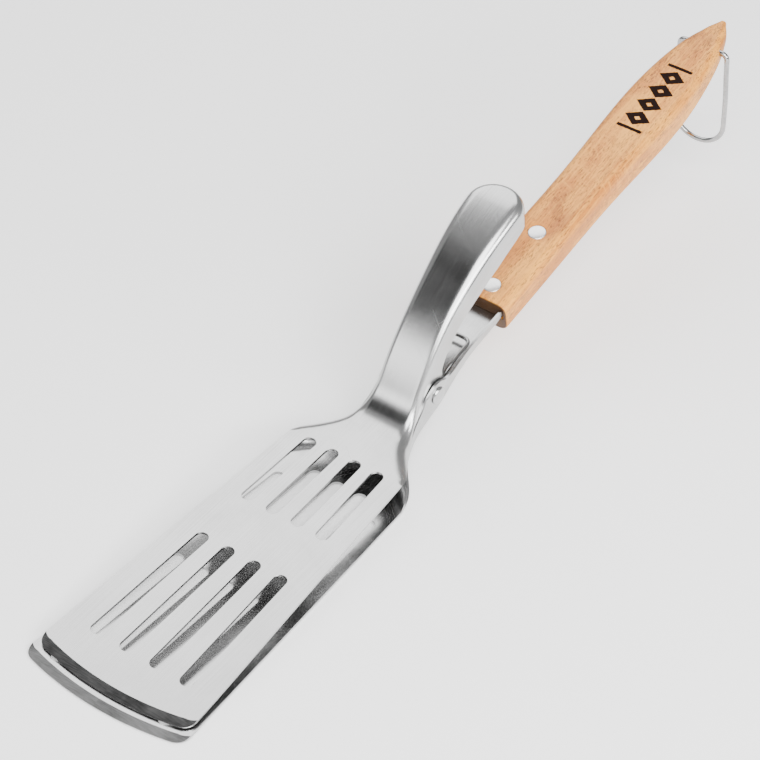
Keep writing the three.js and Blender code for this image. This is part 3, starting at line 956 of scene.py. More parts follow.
@dataclass
class TorsionSpring:
    """One wire: two coils round the pin, a U-shaped loop over the shank and two arms under the lever."""

    wire: float = 1.8
    coil_radius: float = 3.9
    pitch: float = 2.15
    start: float = -15.0
    sweep: float = 1005.0
    inner_y: float = 2.6
    arm: float = 28.0
    leg: tuple[Point, ...] = ((7, 1.9), (14, 4.4), (21, 6.8), (25.5, 7.9))
    reach: float = 29.5
    bend: float = 3.2
    rise: float = 0.15

    def _at(self, dx: float, y: float, dz: float) -> Corner:
        """A point beside the pivot."""
        return PIVOT[0] + dx, y, PIVOT[2] + dz

    def coil_side(self, side: int) -> list[Corner]:
        """An arm and its coil, from the arm's tip to where the leg starts."""
        angle = math.radians(self.start)
        along = (-math.sin(angle), math.cos(angle))
        foot = (self.coil_radius * math.cos(angle), self.coil_radius * math.sin(angle))
        bent = [(self.arm + 0.6, 1.6), (self.arm, 0.5), (self.arm - 1.2, 0.0)]
        path = [self._at(foot[0] + along[0] * r - lift, side * self.inner_y, foot[1] + along[1] * r)
                for r, lift in [*bent, *((r, 0.0) for r in np.linspace(self.arm - 5, 1.5, 8))]]
        steps = 110
        for i in range(steps + 1):
            turned = self.sweep * i / steps
            a = math.radians(self.start - turned)
            y = self.inner_y + self.pitch * turned / 360
            path.append(self._at(self.coil_radius * math.cos(a), side * y, self.coil_radius * math.sin(a)))
        return path

    def loop(self) -> list[Corner]:
        """The two legs and the crossbar between them."""
        leg_y = self.inner_y + self.pitch * self.sweep / 360
        end = math.radians(self.start - self.sweep)
        foot = (self.coil_radius * math.cos(end), self.coil_radius * math.sin(end))
        side = spline([foot, *self.leg], 24, start=(math.sin(end), -math.cos(end)))
        half = [self._at(x, leg_y, z) for x, z in side]
        corner = arc((self.reach - self.bend, leg_y - self.bend), self.bend, 90, 0, 9)
        leg_end, height = self.leg[-1]
        for x, y in corner:
            half.append(self._at(x, y, height + (x - leg_end) * self.rise))
        return half + [(x, -y, z) for x, y, z in reversed(half)]

    def make(self, shop: Workshop) -> None:
        """Builds a loop that stays with the shank, and two coils baked in place on no body."""
        finish = shop.finishes["wire"]
        loop = drawn_wire("spring_loop", self.loop(), self.wire, shop.wires, finish)
        shop.keep(loop, "frame", ("torsion_spring",))
        for side, name in ((1, "left"), (-1, "right")):
            coil = drawn_wire(f"spring_coil_{name}", self.coil_side(side), self.wire, shop.wires, finish, 14)
            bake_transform(coil)
            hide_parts(f"spring_arm_{name}")


@dataclass
class Handle:
    """The pointed wooden handle with its two rivets and the hanging loop."""

    origin: Corner = (158.8, 0.0, 40.2)
    front: float = -8.4
    edge_round: float = 4.5
    face_round: float = 1.0
    tip_round: float = 1.1
    tip_inset: float = 1.15
    rings: int = 130
    corner_steps: int = 10
    halves: list[Point] = field(default_factory=lambda: [
        (-8.4, 12.7), (10, 12.6), (40, 12.3), (74, 12.2), (100, 13.1), (123, 13.9), (140, 13.7), (155, 12.6),
        (166, 11.2), (176, 9.3), (184, 7.0), (190, 4.6), (194.5, 1.6)])
    thickness: list[Point] = field(default_factory=lambda: [
        (-8.4, 15.4), (40, 16), (100, 17), (140, 16.6), (170, 13), (188, 8.4), (194.5, 4.6)])
    top: list[Point] = field(default_factory=lambda: [
        (-8.4, 0), (40, 0), (100, 0.3), (150, 0), (180, -1.6), (194.5, -3.4)])
    rivets: Point = (0.0, 35.5)
    head_radius: float = 4.0
    head_depth: float = 1.4
    dome: float = 0.42
    rivet_body: float = 2.2
    hole: Point = (177.0, -5.0)
    wire: float = 2.5
    loop_top: float = 12.6
    loop_bend: float = 3.0
    loop_half: float = 13.5
    loop_drop: float = 54.75
    lean: float = 8.0

    def place(self) -> Matrix:
        """The handle's frame, in millimetres: x along its top, z out of it."""
        return Matrix.Translation(self.origin) @ Matrix.Rotation(math.radians(-HANDLE_SLOPE), 4, "Y")

    def _ring(self, s: float, half: float, thick: float, top: float, inset: float) -> list[tuple]:
        """The rounded section at a station, pulled in by inset."""
        rounding = min(self.edge_round, half * 0.82, thick * 0.45)
        half, low, high = half - inset, top - thick + inset, top - inset
        rounding = max(rounding - inset, 0.25)
        ring = []
        for side, up, start in ((1, 1, 0), (-1, 1, 90), (-1, -1, 180), (1, -1, 270)):
            centre = (side * (half - rounding), high - rounding if up > 0 else low + rounding)
            ring += [(s, y, z) for y, z in arc(centre, rounding, start, start + 90, self.corner_steps)]
        return ring

    def _body(self, finish: bpy.types.Material) -> bpy.types.Object:
        """The shaped wood before its seats are cut."""
        tables = [spline(rows, 600) for rows in (self.halves, self.thickness, self.top)]
        tip = self.halves[-1][0]
        stations = [self.front + self.face_round * (1 - math.sin(a)) for a in np.linspace(math.pi / 2, 0, 5)]
        insets = [self.face_round * (1 - math.cos(a)) for a in np.linspace(math.pi / 2, 0, 5)]
        stations += list(np.linspace(self.front + self.face_round, tip, self.rings)[1:])
        insets += [0.0] * (self.rings - 1)
        rounding = [(tip + self.tip_round * math.sin(a), self.tip_inset * (1 - math.cos(a)))
                    for a in np.linspace(0, math.pi / 2, 6)[1:]]
        stations += [s for s, _ in rounding]
        insets += [inset for _, inset in rounding]
        rows = []
        for s, inset in zip(stations, insets):
            half, thick, top = (float(np.interp(s, t[:, 0], t[:, 1])) for t in tables)
            rows.append(self._ring(s, half, thick, top, inset))
        place = self.place()
        points = [tuple(place @ Vector(p)) for row in rows for p in row]
        count = len(rows[0])
        faces = ring_faces(len(rows), count)
        last = (len(rows) - 1) * count
        faces.append(tuple(range(count)))
        faces.append(tuple(range(last, last + count)))
        return piece("handle_wood", points, faces, finish)

    def _seats(self) -> list[bpy.types.Object]:
        """The tools for the shank's seat, the rivets' seats and the loop's hole."""
        place = self.place()
        lean_in = self.front - 4
        tools = [
            block("seat_left", (lean_in, 9.55, -8.4), (self.front + 14.5, 11.05, -2.2), place),
            block("seat_right", (lean_in, -11.05, -8.4), (self.front + 14.5, -9.55, -2.2), place),
            block("seat_floor", (lean_in, -11.0, -8.35), (self.front + 14.4, 11.0, -6.8), place),
            block("seat_tang", (self.front + 10, -7.2, -8.34), (46.0, 7.2, -6.85), place),
        ]
        up = place.to_3x3() @ Vector((0, 0, 1))
        for number, s in enumerate(self.rivets):
            thick = float(np.interp(s, *zip(*self.thickness)))
            base = tuple(place @ Vector((s, 0, 0)))
            radius = self.head_radius + 0.13
            for end, low, high in (("top", -1.6, 4.0), ("under", -thick - 4.0, 1.6 - thick)):
                drill = [(0, low), (radius, low), (radius, high), (0, high)]
                tools.append(revolved(f"rivet_seat_{end}_{number}", drill, base, up, 48))
        hole = tuple(place @ Vector((self.hole[0], 0, self.hole[1])))
        radius = self.wire / 2 + 0.3
        tools.append(revolved("loop_hole", [(0, -20), (radius, -20), (radius, 20), (0, 20)], hole,
                              Vector((0, 1, 0)), 32))
        return tools

    def _rivet(self, s: float, name: str, nodes: tuple[str, ...], shop: Workshop) -> None:
        """A two-piece rivet: a low domed head above, a flat one below, and its body between them."""
        place = self.place()
        up = place.to_3x3() @ Vector((0, 0, 1))
        thick = float(np.interp(s, *zip(*self.thickness)))
        head, body, deep = self.head_radius, self.rivet_body, self.head_depth
        dome = [(head * r, self.dome * (1 - r**2.6)) for r in (0.0, 0.2, 0.4, 0.6, 0.76, 0.88, 0.96)]
        under = [(r, -thick - h * 0.6) for r, h in reversed(dome)]
        profile = [*dome, (head, -0.08), (head, -deep), (body, -deep), (body, deep - thick),
                   (head, deep - thick), (head, 0.08 - thick), *under]
        made = revolved(name, profile, tuple(place @ Vector((s, 0, 0))), up, 56, shop.finishes["rivet"])
        shop.keep(made, "frame", nodes)

    def loop_path(self) -> list[Corner]:
        """The hanging loop's wire, from one end inside the wood round to the other."""
        centre = self.place() @ Vector((self.hole[0], 0, self.hole[1]))
        lean = math.radians(self.lean)
        bend, top = self.loop_bend, self.loop_top
        shoulder = arc((bend, top - bend), bend, 180, 90, 9)
        leg = [(d, top + (self.loop_half - top) * smoothstep(d, 3, 30)) for d in np.linspace(6, 41, 12)]
        foot = arc((self.loop_drop - self.loop_half + 1.2, 0), self.loop_half, 90, 0, 18)
        half = [(0.0, 0.8), (0.0, 3.0), (0.0, 6.0), *shoulder, *leg, *foot]
        out = [(centre.x + drop * math.sin(lean), y, centre.z - drop * math.cos(lean)) for drop, y in half]
        return out + [(x, -y, z) for x, y, z in reversed(out[:-1])]

    def make(self, shop: Workshop) -> None:
        """Builds the wood, the rivets and the loop."""
        wood = self._body(shop.finishes["wood"])
        carve(wood, self._seats())
        ease_edges(wood, 0.22, 55)
        shop.keep(wood, "frame", ("wood_handle",))
        for s, name in zip(self.rivets, ("front", "rear")):
            self._rivet(s, f"{name}_rivet", (f"{name}_rivet_post", f"{name}_rivet_socket"), shop)
        finish = shop.finishes["loop"]
        loop = drawn_wire("hanging_wire", self.loop_path(), self.wire, shop.wires, finish, 24)
        shop.keep(loop, "loop", ("hanging_loop",))


# ---- Finishes -----------------------------------------------------------------------------------


class ShaderGroup:
    """A shader node group with named inputs and outputs."""

    def __init__(self, name: str, inputs: dict[str, float | None], outputs: list[str]) -> None:
        """Starts the group.

        Args:
            name: The group's name.
            inputs: Its inputs: a number's default, or None for a vector.
            outputs: Its outputs, all numbers.
        """
        self.tree = bpy.data.node_groups.new(name, "ShaderNodeTree")
        for label, default in inputs.items():
            kind = "NodeSocketVector" if default is None else "NodeSocketFloat"
            made = self.tree.interface.new_socket(label, in_out="INPUT", socket_type=kind)
            if default is not None:
                made.default_value = default
        for label in outputs:
            self.tree.interface.new_socket(label, in_out="OUTPUT", socket_type="NodeSocketFloat")
        self.entry = self.tree.nodes.new("NodeGroupInput")
        self.exit = self.tree.nodes.new("NodeGroupOutput")
        self.draw = Drawing(self.tree)

    def give(self, label: str, value: bpy.types.NodeSocket) -> None:
        """Links a value to an output."""
        self.tree.links.new(value, self.exit.inputs[label])


class Drawing(Wiring):
    """A shader node tree, with short ways to add what the finishes share."""

    def stretch(self, vector: bpy.types.NodeSocket, scale: tuple) -> bpy.types.NodeSocket:
        """A vector times a scale on each axis."""
        return self.node("ShaderNodeVectorMath", {"operation": "MULTIPLY"}, s0=vector, s1=scale).outputs[0]

    def noise(self, vector: bpy.types.NodeSocket, scale: float, detail: float = 3.0, rough: float = 0.5,
              distortion: float = 0.0) -> bpy.types.NodeSocket:
        """A noise value."""
        return self.node("ShaderNodeTexNoise", Vector=vector, Scale=scale, Detail=detail, Roughness=rough,
                         Distortion=distortion).outputs[0]

    def remap(self, value: bpy.types.NodeSocket, low: float, high: float, to_low: float = 0.0,
              to_high: float = 1.0) -> bpy.types.NodeSocket:
        """A value moved smoothly from one range to another, and kept inside it."""
        node = self.node("ShaderNodeMapRange", {"interpolation_type": "SMOOTHSTEP"}, Value=value)
        node.inputs["From Min"].default_value = low
        node.inputs["From Max"].default_value = high
        node.inputs["To Min"].default_value = to_low
        node.inputs["To Max"].default_value = to_high
        return node.outputs[0]

    def mix(self, share, first, second) -> bpy.types.NodeSocket:
        """A mix of two colours, given as sockets or as tuples."""
        node = self.node("ShaderNodeMix", {"data_type": "RGBA"})
        for socket, value in ((node.inputs[0], share), (node.inputs[6], first), (node.inputs[7], second)):
            if isinstance(value, bpy.types.NodeSocket):
                self.tree.links.new(value, socket)
            else:
                socket.default_value = value if isinstance(value, float) else (*value, 1.0)
        return node.outputs[2]


def brushing_group() -> bpy.types.NodeTree:
    """Fine lines along x, as left by a belt or a brush, with a few deeper ones."""
    inputs = {"Vector": None, "Lines per metre": 4000.0, "Length": 0.02}
    group = ShaderGroup("brushing", inputs, ["Lines", "Scores"])
    draw, given = group.draw, group.entry.outputs
    parts = draw.node("ShaderNodeSeparateXYZ", Vector=given["Vector"])
    along = draw.maths("MULTIPLY", parts.outputs[0], draw.maths("DIVIDE", 1.0, given["Length"]))
    cross = [draw.maths("MULTIPLY", parts.outputs[i], given["Lines per metre"]) for i in (1, 2)]
    fine = draw.node("ShaderNodeCombineXYZ", X=along, Y=cross[0], Z=cross[1]).outputs[0]
    lines = draw.noise(fine, 1.0, 4.0, 0.6)
    coarse = draw.noise(draw.stretch(fine, (0.4, 0.21, 0.21)), 1.0, 2.0, 0.5)
    group.give("Lines", draw.remap(lines, 0.25, 0.75))
    group.give("Scores", draw.remap(coarse, 0.62, 0.78))
    return group.tree


def handling_group() -> bpy.types.NodeTree:
    """Soft cloudy marks from handling, and thin random scratches."""
    group = ShaderGroup("handling", {"Vector": None, "Size": 0.02}, ["Clouds", "Scratches"])
    draw, given = group.draw, group.entry.outputs
    sized = draw.node("ShaderNodeVectorMath", {"operation": "SCALE"}, s0=given["Vector"])
    draw.tree.links.new(draw.maths("DIVIDE", 1.0, given["Size"]), sized.inputs["Scale"])
    clouds = draw.noise(sized.outputs[0], 1.0, 5.0, 0.6, 0.6)
    group.give("Clouds", draw.remap(clouds, 0.3, 0.7))
    marks = []
    for turn, scale in ((0.6, 9.0), (2.3, 7.0)):
        turned = draw.node("ShaderNodeMapping", Vector=sized.outputs[0], Rotation=(0.0, 0.0, turn))
        thin = draw.noise(draw.stretch(turned.outputs[0], (0.7, scale * 4, 4.0)), 1.0, 1.0, 0.4)
        marks.append(draw.remap(thin, 0.74, 0.78))
    group.give("Scratches", draw.maths("MAXIMUM", marks[0], marks[1]))
    return group.tree


class Brushing(Enum):
    """The way that a metal finish's lines run, and the coordinates that they follow."""

    SHEET_ALONG = ("sheet", 0.0)
    SHEET_ACROSS = ("sheet", math.pi / 2)
    BODY_ALONG = ("", 0.0)


@dataclass(frozen=True)
class MetalFinish:
    """A bare metal: its greys, its gloss and its lines."""

    name: str
    dark: float
    light: float
    gloss: Point
    brushing: Brushing = Brushing.SHEET_ALONG
    lines: float = 4000.0
    length: float = 0.02
    line_height: float = 2e-6
    cloud_size: float = 0.02
    anisotropic: float = 0.0

    def build(self, brush: bpy.types.NodeTree, handling: bpy.types.NodeTree) -> bpy.types.Material:
        """Makes the material.

        Args:
            brush: The brushing group.
            handling: The handling group.

        Returns:
            The material.
        """
        material = bpy.data.materials.new(self.name)
        material.use_nodes = True
        draw = Drawing(material.node_tree)
        shader = material.node_tree.nodes["Principled BSDF"]
        shader.inputs["Metallic"].default_value = 1.0
        shader.inputs["Anisotropic"].default_value = self.anisotropic
        uv, turn = self.brushing.value
        if uv:
            source = draw.node("ShaderNodeUVMap", {"uv_map": uv}).outputs[0]
        else:
            source = draw.node("ShaderNodeTexCoord").outputs["Object"]
        vector = draw.node("ShaderNodeMapping", Vector=source, Rotation=(0.0, 0.0, turn)).outputs[0]
        lines = draw.node("ShaderNodeGroup", {"node_tree": brush}, Vector=vector, Lines_per_metre=self.lines,
                          Length=self.length)
        marks = draw.node("ShaderNodeGroup", {"node_tree": handling}, Vector=source, Size=self.cloud_size)
        tone = draw.maths("ADD", draw.maths("MULTIPLY", lines.outputs["Lines"], 0.55),
                          draw.maths("MULTIPLY", marks.outputs["Clouds"], 0.45))
        colour = draw.mix(tone, (self.dark,) * 3, (self.light,) * 3)
        material.node_tree.links.new(colour, shader.inputs["Base Color"])
        worn = draw.maths("ADD", draw.maths("MULTIPLY", marks.outputs["Clouds"], 0.6),
                          draw.maths("MULTIPLY", lines.outputs["Lines"], 0.4))
        rough = draw.node("ShaderNodeMapRange", Value=worn)
        rough.inputs["To Min"].default_value, rough.inputs["To Max"].default_value = self.gloss
        scored = draw.maths("ADD", rough.outputs[0], draw.maths("MULTIPLY", marks.outputs["Scratches"], 0.06))
        material.node_tree.links.new(scored, shader.inputs["Roughness"])
        scores = draw.maths("MULTIPLY", lines.outputs["Scores"], 1.5)
        height = draw.maths("SUBTRACT", lines.outputs["Lines"], scores)
        height = draw.maths("SUBTRACT", height, draw.maths("MULTIPLY", marks.outputs["Scratches"], 0.35))
        bump = draw.node("ShaderNodeBump", Height=height, Distance=self.line_height, Strength=1.0)
        material.node_tree.links.new(bump.outputs[0], shader.inputs["Normal"])
        if uv and self.anisotropic > 0:
            tangent = draw.node("ShaderNodeTangent", {"direction_type": "UV_MAP", "uv_map": uv})
            material.node_tree.links.new(tangent.outputs[0], shader.inputs["Tangent"])
        return material


@dataclass(frozen=True)
class WoodFinish:
    """Oiled light brown hardwood with open pores, a curly figure and a burned band."""

    name: str = "oiled_hardwood"
    light: Corner = (0.82, 0.36, 0.058)
    middle: Corner = (0.54, 0.18, 0.022)
    dark: Corner = (0.13, 0.032, 0.007)
    red: Corner = (0.28, 0.065, 0.018)
    # Near black for the front end face: painted shade.
    end_face_shade: Corner = (0.020, 0.008, 0.004)
    burned: Corner = (0.010, 0.004, 0.003)
    shine: float = 0.4
    burned_shine: float = 0.05
    patch_at: Corner = (0.044, -0.006, 0.0)
    mark_middle: float = 0.132
    mark_half: float = 0.02
    cell: float = 0.005
    pore_height: float = 6e-5

    def build(self, place: Matrix) -> bpy.types.Material:
        """Makes the material.

        Args:
            place: The handle's frame, in millimetres.

        Returns:
            The material.
        """
        material = bpy.data.materials.new(self.name)
        material.use_nodes = True
        draw = Drawing(material.node_tree)
        shader = material.node_tree.nodes["Principled BSDF"]
        coordinates = draw.node("ShaderNodeTexCoord").outputs["Object"]
        local = draw.node("ShaderNodeMapping", {"vector_type": "TEXTURE"}, Vector=coordinates,
                          Location=tuple(c * MM for c in place.translation), Rotation=tuple(place.to_euler()))
        local = local.outputs[0]
        figure = draw.noise(draw.stretch(local, (14.0, 70.0, 70.0)), 1.0, 4.0, 0.55, 0.5)
        streaks = draw.noise(draw.stretch(local, (45.0, 900.0, 900.0)), 1.0, 4.0, 0.6)
        clouds = draw.noise(draw.stretch(local, (30.0, 60.0, 60.0)), 1.0, 3.0, 0.5, 1.0)
        tone = draw.maths("ADD", draw.maths("MULTIPLY", figure, 0.55), draw.maths("MULTIPLY", streaks, 0.45))
        colour = draw.mix(draw.remap(tone, 0.40, 0.60), self.middle, self.light)
        colour = draw.mix(draw.remap(clouds, 0.55, 0.8, 0.0, 0.35), colour, self.dark)
        colour = draw.mix(self._ripple(draw, local), colour, self.light)
        colour = draw.mix(self._patch(draw, local), colour, self.red)
        pores = self._pores(draw, local)
        colour = draw.mix(draw.maths("MULTIPLY", pores, 0.75), colour, self.dark)
        # Painted shade: the front end face is mixed to near black.
        colour = draw.mix(self._end_grain(draw, local), colour, self.end_face_shade)
        mark = self._mark(draw, local)
        colour = draw.mix(mark, colour, self.burned)
        material.node_tree.links.new(colour, shader.inputs["Base Color"])
        rough = draw.maths("ADD", draw.remap(streaks, 0.3, 0.7, 0.4, 0.52),
                           draw.maths("MULTIPLY", mark, 0.25))
        material.node_tree.links.new(rough, shader.inputs["Roughness"])
        shine = draw.remap(mark, 0.0, 1.0, self.shine, self.burned_shine)
        material.node_tree.links.new(shine, shader.inputs["Specular IOR Level"])
        height = draw.maths("SUBTRACT", draw.maths("MULTIPLY", streaks, 0.25), pores)
        height = draw.maths("SUBTRACT", height, draw.maths("MULTIPLY", mark, 1.2))
        bump = draw.node("ShaderNodeBump", Height=height, Distance=self.pore_height, Strength=0.8)
        material.node_tree.links.new(bump.outputs[0], shader.inputs["Normal"])
        return material

    def _pores(self, draw: Drawing, local: bpy.types.NodeSocket) -> bpy.types.NodeSocket:
        """Short dark flecks along the grain."""
        flecks = draw.noise(draw.stretch(local, (420.0, 3100.0, 3100.0)), 1.0, 2.0, 0.5)
        thick = draw.noise(draw.stretch(local, (60.0, 200.0, 200.0)), 1.0, 2.0, 0.5)
        density = draw.remap(thick, 0.35, 0.7, 0.05, -0.03)
        return draw.remap(draw.maths("SUBTRACT", flecks, density), 0.55, 0.63)

    def _ripple(self, draw: Drawing, local: bpy.types.NodeSocket) -> bpy.types.NodeSocket:
        """A curly figure of fine slanting light lines in the middle of the handle."""
        turned = draw.node("ShaderNodeMapping", Vector=local, Rotation=(0.0, 0.0, 0.5)).outputs[0]
        waves = draw.noise(draw.stretch(turned, (420.0, 90.0, 90.0)), 1.0, 2.0, 0.6, 1.6)
        station = draw.node("ShaderNodeSeparateXYZ", Vector=local).outputs[0]
        reach = draw.maths("MULTIPLY", draw.remap(station, 0.03, 0.075), draw.remap(station, 0.19, 0.12))
        return draw.maths("MULTIPLY", draw.remap(waves, 0.45, 0.68), draw.maths("MULTIPLY", reach, 0.5))

    def _patch(self, draw: Drawing, local: bpy.types.NodeSocket) -> bpy.types.NodeSocket:
        """A reddish patch of heartwood beside the rear rivet."""
        centre = draw.node("ShaderNodeVectorMath", {"operation": "SUBTRACT"}, s0=local, s1=self.patch_at)
        oval = draw.stretch(centre.outputs[0], (1 / 0.013, 1 / 0.005, 1 / 0.012))
        far = draw.node("ShaderNodeVectorMath", {"operation": "LENGTH"}, s0=oval).outputs["Value"]
        ragged = draw.noise(draw.stretch(local, (90, 260, 260)), 1.0)
        wavy = draw.maths("ADD", far, draw.maths("MULTIPLY", ragged, 0.9))
        return draw.remap(wavy, 1.55, 0.6, 0.0, 0.5)

    def _end_grain(self, draw: Drawing, local: bpy.types.NodeSocket) -> bpy.types.NodeSocket:
        """The front face, where the grain is cut across, painted near black as shade."""
        station = draw.node("ShaderNodeSeparateXYZ", Vector=local).outputs[0]
        return draw.remap(station, -0.0079, -0.0083, 0.0, 0.92)

    def _mark(self, draw: Drawing, local: bpy.types.NodeSocket) -> bpy.types.NodeSocket:
        """A burned band of four lozenges between two bars on the top face."""
        char = draw.noise(local, 900.0, 3.0, 0.6)
        wobble = draw.maths("MULTIPLY", draw.maths("SUBTRACT", char, 0.5), 0.0009)
        parts = draw.node("ShaderNodeSeparateXYZ", Vector=local)
        across = draw.maths("ABSOLUTE", draw.maths("ADD", parts.outputs[1], 0.001))
        centred = draw.maths("SUBTRACT", parts.outputs[0], self.mark_middle)
        cell = draw.maths("PINGPONG", draw.maths("ADD", centred, 0.205), self.cell)
        slant = draw.maths("ADD", draw.maths("ADD", cell, draw.maths("MULTIPLY", across, 0.72)), wobble)
        lozenge = draw.maths("MULTIPLY", draw.remap(slant, 0.0049, 0.0046), draw.remap(slant, 0.0011, 0.0014))
        inside = draw.remap(draw.maths("ABSOLUTE", centred), self.mark_half, self.mark_half - 0.0003)
        within = draw.remap(across, 0.0072, 0.0070)
        band = draw.maths("MULTIPLY", draw.maths("MULTIPLY", lozenge, inside), within)
        from_bar = draw.maths("SUBTRACT", draw.maths("ABSOLUTE", centred), self.mark_half + 0.0022)
        bar = draw.maths("ADD", draw.maths("ABSOLUTE", from_bar), wobble)
        bars = draw.maths("MULTIPLY", draw.remap(bar, 0.0010, 0.0008), draw.remap(across, 0.0066, 0.0062))
        top = draw.remap(parts.outputs[2], -0.004, -0.003)
        return draw.maths("MULTIPLY", draw.maths("MAXIMUM", band, bars), top)


def make_finishes(handle: Handle) -> dict[str, bpy.types.Material]:
    """Every finish by the name that the sub-assemblies use."""
    brush, handling = brushing_group(), handling_group()
    metals = {
        "satin": MetalFinish("satin_sheet", 0.42, 0.58, (0.2, 0.28), lines=3000, length=0.05, cloud_size=0.03,
                             line_height=2e-6, anisotropic=0.25),
        "shank": MetalFinish("satin_shank", 0.36, 0.60, (0.18, 0.3), lines=3000, length=0.05,
                             line_height=3e-6),
        # Upper bevel: its near-black grey is a painted reflection of a dark surrounding, not the steel's own
        # colour.
        "painted_reflection_bevel": MetalFinish("painted_reflection_bevel_finish", 0.035, 0.15, (0.38, 0.55), Brushing.SHEET_ACROSS,
                                   lines=2200, length=0.006, line_height=8e-6),
        # Lower bevel: the grinding and its roughness are real; its darker grey is a painted reflection.
        "ground": MetalFinish("ground_bevel_painted_dark", 0.12, 0.30, (0.34, 0.5), Brushing.SHEET_ACROSS, lines=2200,
                              length=0.006, line_height=8e-6),
        "bright": MetalFinish("bright_pin", 0.40, 0.60, (0.12, 0.2), Brushing.BODY_ALONG, lines=900,
                              length=0.01),
        "wire": MetalFinish("spring_wire_drawn", 0.26, 0.46, (0.08, 0.16), Brushing.BODY_ALONG, lines=700,
                            length=0.01),
        "loop": MetalFinish("loop_wire_drawn", 0.28, 0.48, (0.12, 0.22), Brushing.BODY_ALONG, lines=700,
                            length=0.01),
        "rivet": MetalFinish("rivet_aluminium", 0.80, 0.93, (0.3, 0.42), Brushing.BODY_ALONG, lines=1500,
                             length=0.01, cloud_size=0.004),
    }
    finishes = {key: metal.build(brush, handling) for key, metal in metals.items()}
    finishes["wood"] = WoodFinish().build(handle.place())
    return finishes


# ---- Studio -------------------------------------------------------------------------------------


def plain_finish(name: str, grey: float, rough: float) -> bpy.types.Material:
    """A plain grey for what stands round the object."""
    material = bpy.data.materials.new(name)
    material.use_nodes = True
    shader = material.node_tree.nodes["Principled BSDF"]
    shader.inputs["Base Color"].default_value = (grey, grey, grey, 1.0)
    shader.inputs["Roughness"].default_value = rough
    return material


def flat_mesh(name: str, half_x: float, half_y: float, z: float,
              material: bpy.types.Material) -> bpy.types.Mesh:
    """A flat rectangle about the z axis."""
    mesh = bpy.data.meshes.new(name)
    corners = [(-half_x, -half_y, z), (half_x, -half_y, z), (half_x, half_y, z), (-half_x, half_y, z)]
    mesh.from_pydata(corners, [], [(0, 1, 2, 3)])
    mesh.materials.append(material)
    return mesh


@dataclass(frozen=True)
class Panel:
    """A light or a dark card that hangs at a direction and a distance from the lever."""

    name: str
    direction: Corner
    distance: float
    size: Point
    power: float

    def hang(self, aim: Vector) -> None:
        """Puts the panel up, facing the aim. A panel without power is a black card that only metal sees."""
        way = Vector(self.direction).normalized()
        if self.power > 0:
            data = bpy.data.lights.new(self.name, "AREA")
            data.shape = "RECTANGLE"
            data.size, data.size_y = self.size
            data.energy = self.power
            made = bpy.data.objects.new(self.name, data)
        else:
            black = plain_finish("black_card", 0.004, 1.0)
            data = flat_mesh(self.name, self.size[0] / 2, self.size[1] / 2, 0.0, black)
            made = bpy.data.objects.new(self.name, data)
            made.visible_camera = made.visible_diffuse = made.visible_shadow = False
        made.location = aim + way * self.distance
        made.rotation_mode = "QUATERNION"
        made.rotation_quaternion = way.to_track_quat("Z", "Y")
        bpy.context.scene.collection.objects.link(made)


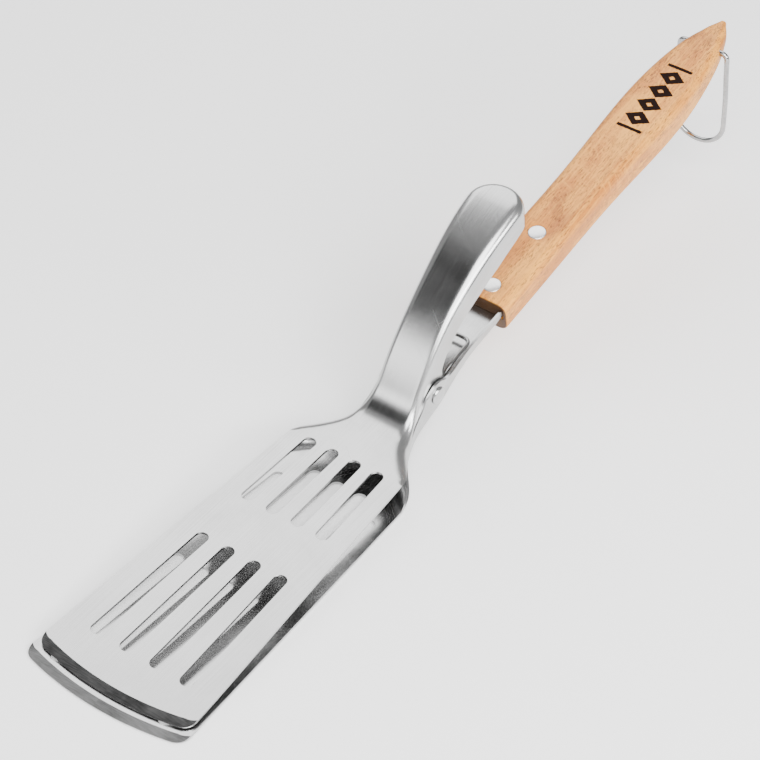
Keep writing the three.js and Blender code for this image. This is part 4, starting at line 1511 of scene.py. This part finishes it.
@dataclass(frozen=True)
class Studio:
    """The pale floor, the soft light and the camera."""

    target: Corner = (61.5, -9.7, 55.3)
    azimuth: float = -56.63
    elevation: float = 39.73
    roll: float = 3.47
    distance: float = 989.0
    lens: float = 117.6
    world: float = 0.45
    floor_grey: float = 0.92
    floor_glow: float = 0.35
    floor_half: float = 4.0
    floor_gap: float = 0.0004
    aim: Corner = (0.12, 0.0, 0.05)
    panels: tuple[Panel, ...] = (
        Panel("overhead_card", (-0.62, 0.22, 0.75), 0.5, (0.5, 0.30), 0.0),
        Panel("side_softbox", (-0.14, -0.88, 0.42), 0.9, (0.9, 0.2), 10.0),
        Panel("rear_softbox", (0.54, 0.44, 0.72), 1.0, (1.0, 0.8), 8.5),
        Panel("front_softbox", (-0.9, 0.3, 0.3), 1.1, (1.0, 0.3), 4.0),
        Panel("key_softbox", (-0.5, -0.6, 0.9), 1.3, (1.0, 1.0), 30.0),
    )

    def build(self) -> None:
        """Sets up the floor, the light and the camera."""
        scene = bpy.context.scene
        world = bpy.data.worlds.new("studio")
        world.use_nodes = True
        world.node_tree.nodes["Background"].inputs["Color"].default_value = (1.0, 1.0, 1.0, 1.0)
        world.node_tree.nodes["Background"].inputs["Strength"].default_value = self.world
        scene.world = world
        self._floor()
        for panel in self.panels:
            panel.hang(Vector(self.aim))
        self._camera()

    def _floor(self) -> None:
        """A wide pale floor just under the object."""
        pale = plain_finish("pale_floor", self.floor_grey, 0.9)
        shader = pale.node_tree.nodes["Principled BSDF"]
        shader.inputs["Specular IOR Level"].default_value = 0.1
        shader.inputs["Emission Color"].default_value = (1.0, 1.0, 1.0, 1.0)
        shader.inputs["Emission Strength"].default_value = self.floor_glow
        low = CAD_BOX[0].z - self.floor_gap
        data = flat_mesh("floor", self.floor_half, self.floor_half, low, pale)
        made = bpy.data.objects.new("floor", data)
        bpy.context.scene.collection.objects.link(made)

    def _camera(self) -> None:
        """The camera, turned round the target."""
        data = bpy.data.cameras.new("camera")
        data.lens = self.lens
        data.clip_start, data.clip_end = 0.01, 20.0
        made = bpy.data.objects.new("camera", data)
        azimuth, elevation, roll = (math.radians(a) for a in (self.azimuth, self.elevation, self.roll))
        back = Vector((math.sin(azimuth) * math.cos(elevation), -math.cos(azimuth) * math.cos(elevation),
                       math.sin(elevation)))
        right = Vector((0, 0, 1)).cross(back).normalized()
        up = back.cross(right)
        turned_right = right * math.cos(roll) + up * math.sin(roll)
        turned_up = up * math.cos(roll) - right * math.sin(roll)
        axes = Matrix((turned_right, turned_up, back)).transposed()
        place = Vector(self.target) * MM + back * self.distance * MM
        made.matrix_world = Matrix.Translation(place) @ axes.to_4x4()
        bpy.context.scene.collection.objects.link(made)
        bpy.context.scene.camera = made


def main() -> None:
    """Builds the spatula, its finishes and its studio."""
    logging.basicConfig(level=logging.INFO)
    handle = Handle()
    shop = Workshop(make_finishes(handle), wire_tree(), punch_tree())
    for part in (LowerBlade(), UpperBlade(), PivotPin(), TorsionSpring(), handle):
        part.make(shop)
    Studio().build()


if __name__ == "__main__":
    main()
